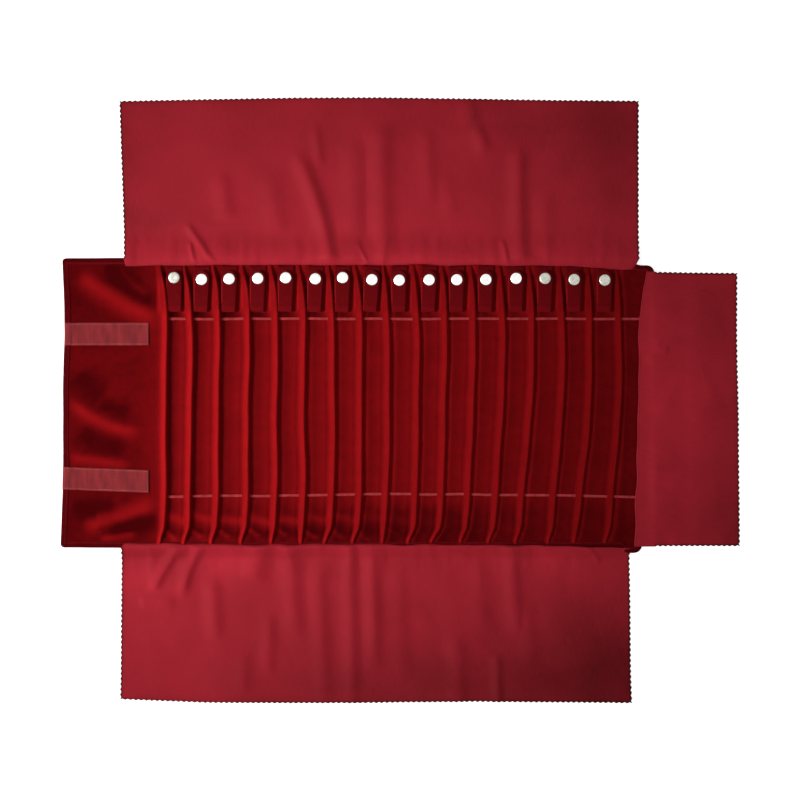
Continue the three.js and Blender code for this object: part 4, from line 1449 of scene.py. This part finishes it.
def elastic(place, bow, seed):
    """Narrow band across the lanes; its bow is a row of places along it and shifts across it, in mm."""
    node = f"{place}_elastic"
    low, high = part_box(node)
    u = np.linspace(low.x, high.x + ELASTIC_UNDER_FLAP, ELASTIC_COLUMNS)
    x, share = np.meshgrid(u, np.linspace(-1, 1, ELASTIC_ROWS))
    half = (high.y - low.y) / 2 - ELASTIC_SLIMMER
    places, shifts = np.array(bow).T * MM
    wander = rippled(u, np.zeros_like(u), ELASTIC_WANDER, seed) + np.interp(u, places, shifts)
    y = (low.y + high.y) / 2 + share * half + wander[None, :]
    dome = ELASTIC_DOME * (1 - share ** 4) + ELASTIC_RIBS * np.cos(share * 3 * math.pi)
    z = high.z - ELASTIC_SINK + dome + rippled(x, y, ELASTIC_RIPPLE, seed + 1)
    upper = np.stack([x, y, z], axis=2)
    piece = thick_cloth(f"{place}_elastic_band", upper, ELASTIC_THICKNESS, elastic_weave, flat_from(upper))
    return fixed(piece, "elastic", node)


# Cover flaps

def flap_drop(out, length):
    """Height of a flap at a distance out from the body's edge: over the hem, then down to the table."""
    fall = np.clip((out - FLAP_FALL_START) / length, 0, 1)
    lift = (1 - fall) ** 2 * (1 + FLAP_FALL_ROUND * fall)
    return FLAP_REST + (FLAP_ON_BODY - FLAP_REST) * lift


def hem_height(inset):
    """Height of the hem's upper side at a distance in from the body's edge."""
    insets, heights, _ = np.array(HEM_SECTION[HEM_UPPER_SIDE]).T * MM
    return np.interp(inset, insets, heights)


def even_steps(share, values):
    """Lengths given in mm at even steps from one end of an edge to the other."""
    return np.interp(share, np.linspace(-0.5, 0.5, len(values)), np.array(values) * MM)


def notch(teeth):
    """Depth share of a pinked edge: nothing at the tip of a tooth, full halfway to the next."""
    return 1 - np.abs(2 * (teeth % 1) - 1)


def flap_plan(width, length, lie, seed):
    """Flap from above: share of its width, row from -1 at the seam to 1, and place along and out from it."""
    across_count = round(width / TOOTH_PITCH)
    out_count = round(length / TOOTH_PITCH)
    across_teeth = np.linspace(0, across_count, TOOTH_POINTS * across_count + 1)
    root_teeth = np.arange(0, ROOT_TEETH, 1 / TOOTH_POINTS)
    outer_teeth = np.linspace(ROOT_TEETH, out_count, OUTER_TOOTH_POINTS * (out_count - ROOT_TEETH) + 1)
    out_teeth = np.concatenate([root_teeth, outer_teeth])
    inner_rows = max(LEAST_SEAM_ROWS, round(max(lie.seam) * MM / SEAM_ROW))
    rows = np.concatenate([np.linspace(-1, 0, inner_rows, endpoint=False), out_teeth / out_count])
    share, row = np.meshgrid(across_teeth / across_count - 0.5, rows)
    sewn = np.clip(-row, 0, 1)
    free = np.clip(row, 0, 1)
    reach = np.where(row < 0, even_steps(share, lie.seam), length - even_steps(share, lie.sag))
    out = row * reach + sewn * rippled(share * width, np.zeros_like(share), FLAP_EDGE_RIPPLE, seed + 3)
    drawn_in = lie.insets[0] * (0.5 - share) - lie.insets[1] * (0.5 + share)
    corner, end = TUCKED_CORNER
    tucked = lie.tucks[0] * smoothstep(-corner, -end, share) - lie.tucks[1] * smoothstep(corner, end, share)
    along = share * width + drawn_in * (1 - free) + tucked * sewn
    for column, depth in enumerate(SIDE_TOOTH_SHARES):
        along[inner_rows:, column] += TOOTH_DEPTH * depth * notch(out_teeth)
        along[inner_rows:, -1 - column] -= TOOTH_DEPTH * depth * notch(out_teeth)
    out[-1] -= TOOTH_DEPTH * notch(across_teeth)
    along = along + rippled(out, along, FLAP_DRIFT, seed + 4) * free
    return share, row, along, out


def flap_height(x, y, row, along, out, length, lie, seed):
    """Height of a flap: its fall to the table with slack, folds, and puckers beside its seam."""
    end_start, end_full = (length - before for before in FLAP_PRESSED_END)
    free = smoothstep(*FLAP_FREE, out) * (1 - lie.pressed_flat_and_painted_shade * smoothstep(end_start, end_full, out))
    slack = rippled(x, y, FLAP_SLACK, seed) + FLAP_SLACK_LIFT + rippled(x, y, FLAP_FINE_SLACK, seed + 1)
    puckers = rippled(along, PUCKER_STRETCH * out, FLAP_PUCKERS, seed + 2)
    near_seam = smoothstep(*PUCKER_START, out) * (1 - smoothstep(*PUCKER_END, out))
    slack = slack + folds_height(x, y, lie.folds, FLAP_LEE)
    z = flap_drop(out, lie.fall) + free * slack + near_seam * puckers
    return z + rippled(along, out, FLAP_SEWN_RIPPLE, seed + 5) * np.clip(-row, 0, 1)


def flap_painted_light(x, y, row, painted_patches):
    """Painted light and shade of a flap, with painted shade along its pinked edges."""
    lightened = patches(x, y, painted_patches)
    lightened[-1] += EDGE_PAINTED_SHADE
    lightened[-2] += NEXT_TO_EDGE_PAINTED_SHADE
    free_rows = slice(np.count_nonzero(row[:, 0] < 0), None)
    lightened[free_rows, [0, 1, -2, -1]] += EDGE_PAINTED_SHADE
    lightened[free_rows, [2, -3]] += NEXT_TO_EDGE_PAINTED_SHADE
    return lightened


def pinked_flap(body, edge, heading, width, length, lie, seed):
    """Sheet of lining from its seam on the body, over the hem and out over the table, with pinked edges."""
    width = width + lie.wider
    share, row, along, out = flap_plan(width, length, lie, seed)
    turn = math.radians(heading)
    edge_x = edge[0] + along * math.cos(turn)
    edge_y = edge[1] + along * math.sin(turn)
    x = edge_x - out * math.sin(turn)
    y = edge_y + out * math.cos(turn)
    z = flap_height(x, y, row, along, out, length, lie, seed)
    moved_x, moved_y = out_of_square(edge_x, edge_y)
    moved_out = (moved_y - edge_y) * math.cos(turn) - (moved_x - edge_x) * math.sin(turn)
    inset = even_steps(share, lie.seam) + moved_out
    sewn = smoothstep(*FLAP_SEWN_ROWS, row) * smoothstep(*FLAP_SEWN_INSET, inset)
    z = z * (1 - sewn) + (hem_height(inset) + FLAP_THICKNESS - FLAP_SEWN_SINK) * sewn
    upper = np.stack([x, y, z], axis=2)
    piece = thick_cloth(f"{body}_cloth", upper, FLAP_THICKNESS, flap_cloth, flat_from(upper))
    record_painted_light(piece, flap_painted_light(x, y, row, lie.painted_patches))
    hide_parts(body)
    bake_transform(piece)
    return upper[1] + np.array([0, 0, FLAP_STITCH_LIFT])


def flaps():
    """Makes the three flaps, and the stitches that hold them to the body."""
    low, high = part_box("top_flap")
    edge = ((low.x + high.x) / 2 + TOP_FLAP.aside, body_high.y)
    top = pinked_flap("top_flap", edge, 0, high.x - low.x, high.y - body_high.y, TOP_FLAP, seed=41)
    low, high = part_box("bottom_flap")
    edge = ((low.x + high.x) / 2 + BOTTOM_FLAP.aside, body_low.y)
    bottom = pinked_flap("bottom_flap", edge, 180, high.x - low.x, body_low.y - low.y, BOTTOM_FLAP, seed=51)
    low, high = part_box("side_flap")
    edge = (body_high.x, (low.y + high.y) / 2 + SIDE_FLAP.aside)
    side = pinked_flap("side_flap", edge, -90, high.y - low.y, high.x - body_high.x, SIDE_FLAP, seed=61)
    fixed(stitches("flap_seam_stitches", [top, bottom, side], thread), "flap_cloth")


# Snap tabs

tip_angles = np.linspace(0, TIP_TURN, TIP_ROWS + 1)[1:]


def strap_path():
    """Middle line of a strap from its sewn end, round the fold and up to its free end: Y and Z."""
    fold_y = tab_axis.y + STRAP_FOLD_LIFT
    bend_middle = (STRAP_REAR + STRAP_FRONT) / 2
    bend_radius = (STRAP_FRONT - STRAP_REAR) / 2
    straight_end = strap_end - STRAP_SNAP_WIDTH / 2
    path = [(y, STRAP_REAR) for y in np.linspace(STRAP_SEWN_END, fold_y, STRAP_ROWS, endpoint=False)]
    for angle in np.linspace(-math.pi / 2, -3 * math.pi / 2, BEND_ROWS):
        path.append((fold_y + bend_radius * math.cos(angle), bend_middle + bend_radius * math.sin(angle)))
    path += [(y, STRAP_FRONT) for y in np.linspace(fold_y, straight_end, STRAP_ROWS)[1:]]
    path += [(straight_end + STRAP_SNAP_WIDTH / 2 * math.sin(angle), STRAP_FRONT) for angle in tip_angles]
    return np.array(path)


def tab_strap(tab, middle, lean, seed):
    path = strap_path()
    share = np.linspace(-1, 1, STRAP_COLUMNS)
    widen = np.clip((path[:, 0] - tab_axis.y) / (snap_y - tab_axis.y), 0, 1)
    half = (STRAP_FOLD_WIDTH + (STRAP_SNAP_WIDTH - STRAP_FOLD_WIDTH) * widen) / 2
    half[-TIP_ROWS:] *= np.cos(tip_angles)
    across = share[None, :] * half[:, None]
    step = np.gradient(path, axis=0)
    step /= np.linalg.norm(step, axis=1, keepdims=True)
    outward = np.stack([-step[:, 1], step[:, 0]], axis=1)
    along = np.concatenate([[0], np.cumsum(np.linalg.norm(np.diff(path, axis=0), axis=1))])
    up = np.repeat(along[:, None], STRAP_COLUMNS, axis=1)
    pile_and_painted_light = np.clip(rippled(across + middle.x * STRAP_PILE_SHIFT, up, STRAP_PILE, seed), *STRAP_PILE_ENDS)
    relief = STRAP_THICKNESS / 2 - STRAP_ROUNDING * share[None, :] ** 6 + pile_and_painted_light
    swing_y = path[:, :1] + outward[:, :1] * relief - snap_y
    z = path[:, 1:] + outward[:, 1:] * relief
    turn = math.radians(lean)
    x = middle.x + across * math.cos(turn) - swing_y * math.sin(turn)
    y = snap_y + across * math.sin(turn) + swing_y * math.cos(turn)
    upper = np.stack([x, y, z], axis=2)
    piece = thick_cloth(f"{tab}_strap_cloth", upper, STRAP_THICKNESS, strap_velvet, flat_from(upper))
    # Painted highlights along the strap's fold and its left edge
    lightened = np.zeros(upper.shape[:2])
    front_start = STRAP_ROWS + BEND_ROWS
    lightened[STRAP_ROWS + BEND_CREST:STRAP_ROWS + BEND_FRONT] += BEND_CREST_HIGHLIGHT
    lightened[STRAP_ROWS + BEND_FRONT:front_start + 1] += BEND_FRONT_HIGHLIGHT
    lightened[front_start + 2:-TIP_ROWS, 0] += STRAP_EDGE_HIGHLIGHT
    record_painted_light(piece, lightened)
    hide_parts(f"{tab}_strap")
    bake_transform(piece)


def snap_cap(tab, middle, metal):
    """Domed cap with a rolled rim, its shank, and the socket below the strap."""
    low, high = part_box("tab_01_cap")
    profile = section_from(low.z, SOCKET_SECTION) + section_from(high.z, CAP_SECTION)
    cap = turned(f"{tab}_snap_cap", profile, CAP_SIDES, metal, (middle.x, middle.y))
    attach(cap, tab)
    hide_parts(f"{tab}_cap")


def stud_shape():
    low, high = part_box("tab_01_stud")
    profile = section_from(0, STUD_PLATE_SECTION) + section_from(high.z - low.z, STUD_HEAD_SECTION)
    return turned("stud_shape", profile, STUD_SIDES, bright_nickel)


def snap_tabs():
    places = []
    tabs = zip(tab_names, tab_middles, TAB_SHIFTS, TAB_RISES, TAB_LEANS)
    for number, (tab, lane_middle, shift, rise, lean) in enumerate(tabs, start=1):
        middle = lane_middle + Vector((shift * MM, rise * MM, 0))
        places.append((middle.x, middle.y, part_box(f"{tab}_stud")[0].z))
        tab_strap(tab, middle, lean, seed=70 + number)
        snap_cap(tab, middle, dull_nickel if number in DULL_CAPS else bright_nickel)
    studs = scattered("snap_studs", places, stud_shape(), 0.0, 1, bright_nickel)
    fixed(studs, "snap_metal", *[f"{tab}_stud" for tab in tab_names])


shell = fixed(cover(), "cover_cloth", "outer_cover")
fixed(hem_stitches(), "cover_cloth")
filling = fixed(wadding(), "wadding", "padding")
panel = fixed(velvet_panel(), "velvet", "velvet_panel")
hook_strip("upper", 0.0, 0.0, seed=81)
hook_strip("lower", LOWER_TAPE_TILT, LOWER_TAPE_SHIFT, seed=82)
loop_strip("upper", seed=83)
loop_strip("lower", seed=84)
elastic("upper", UPPER_ELASTIC_BOW, seed=91)
elastic("lower", LOWER_ELASTIC_BOW, seed=93)
flaps()
snap_tabs()
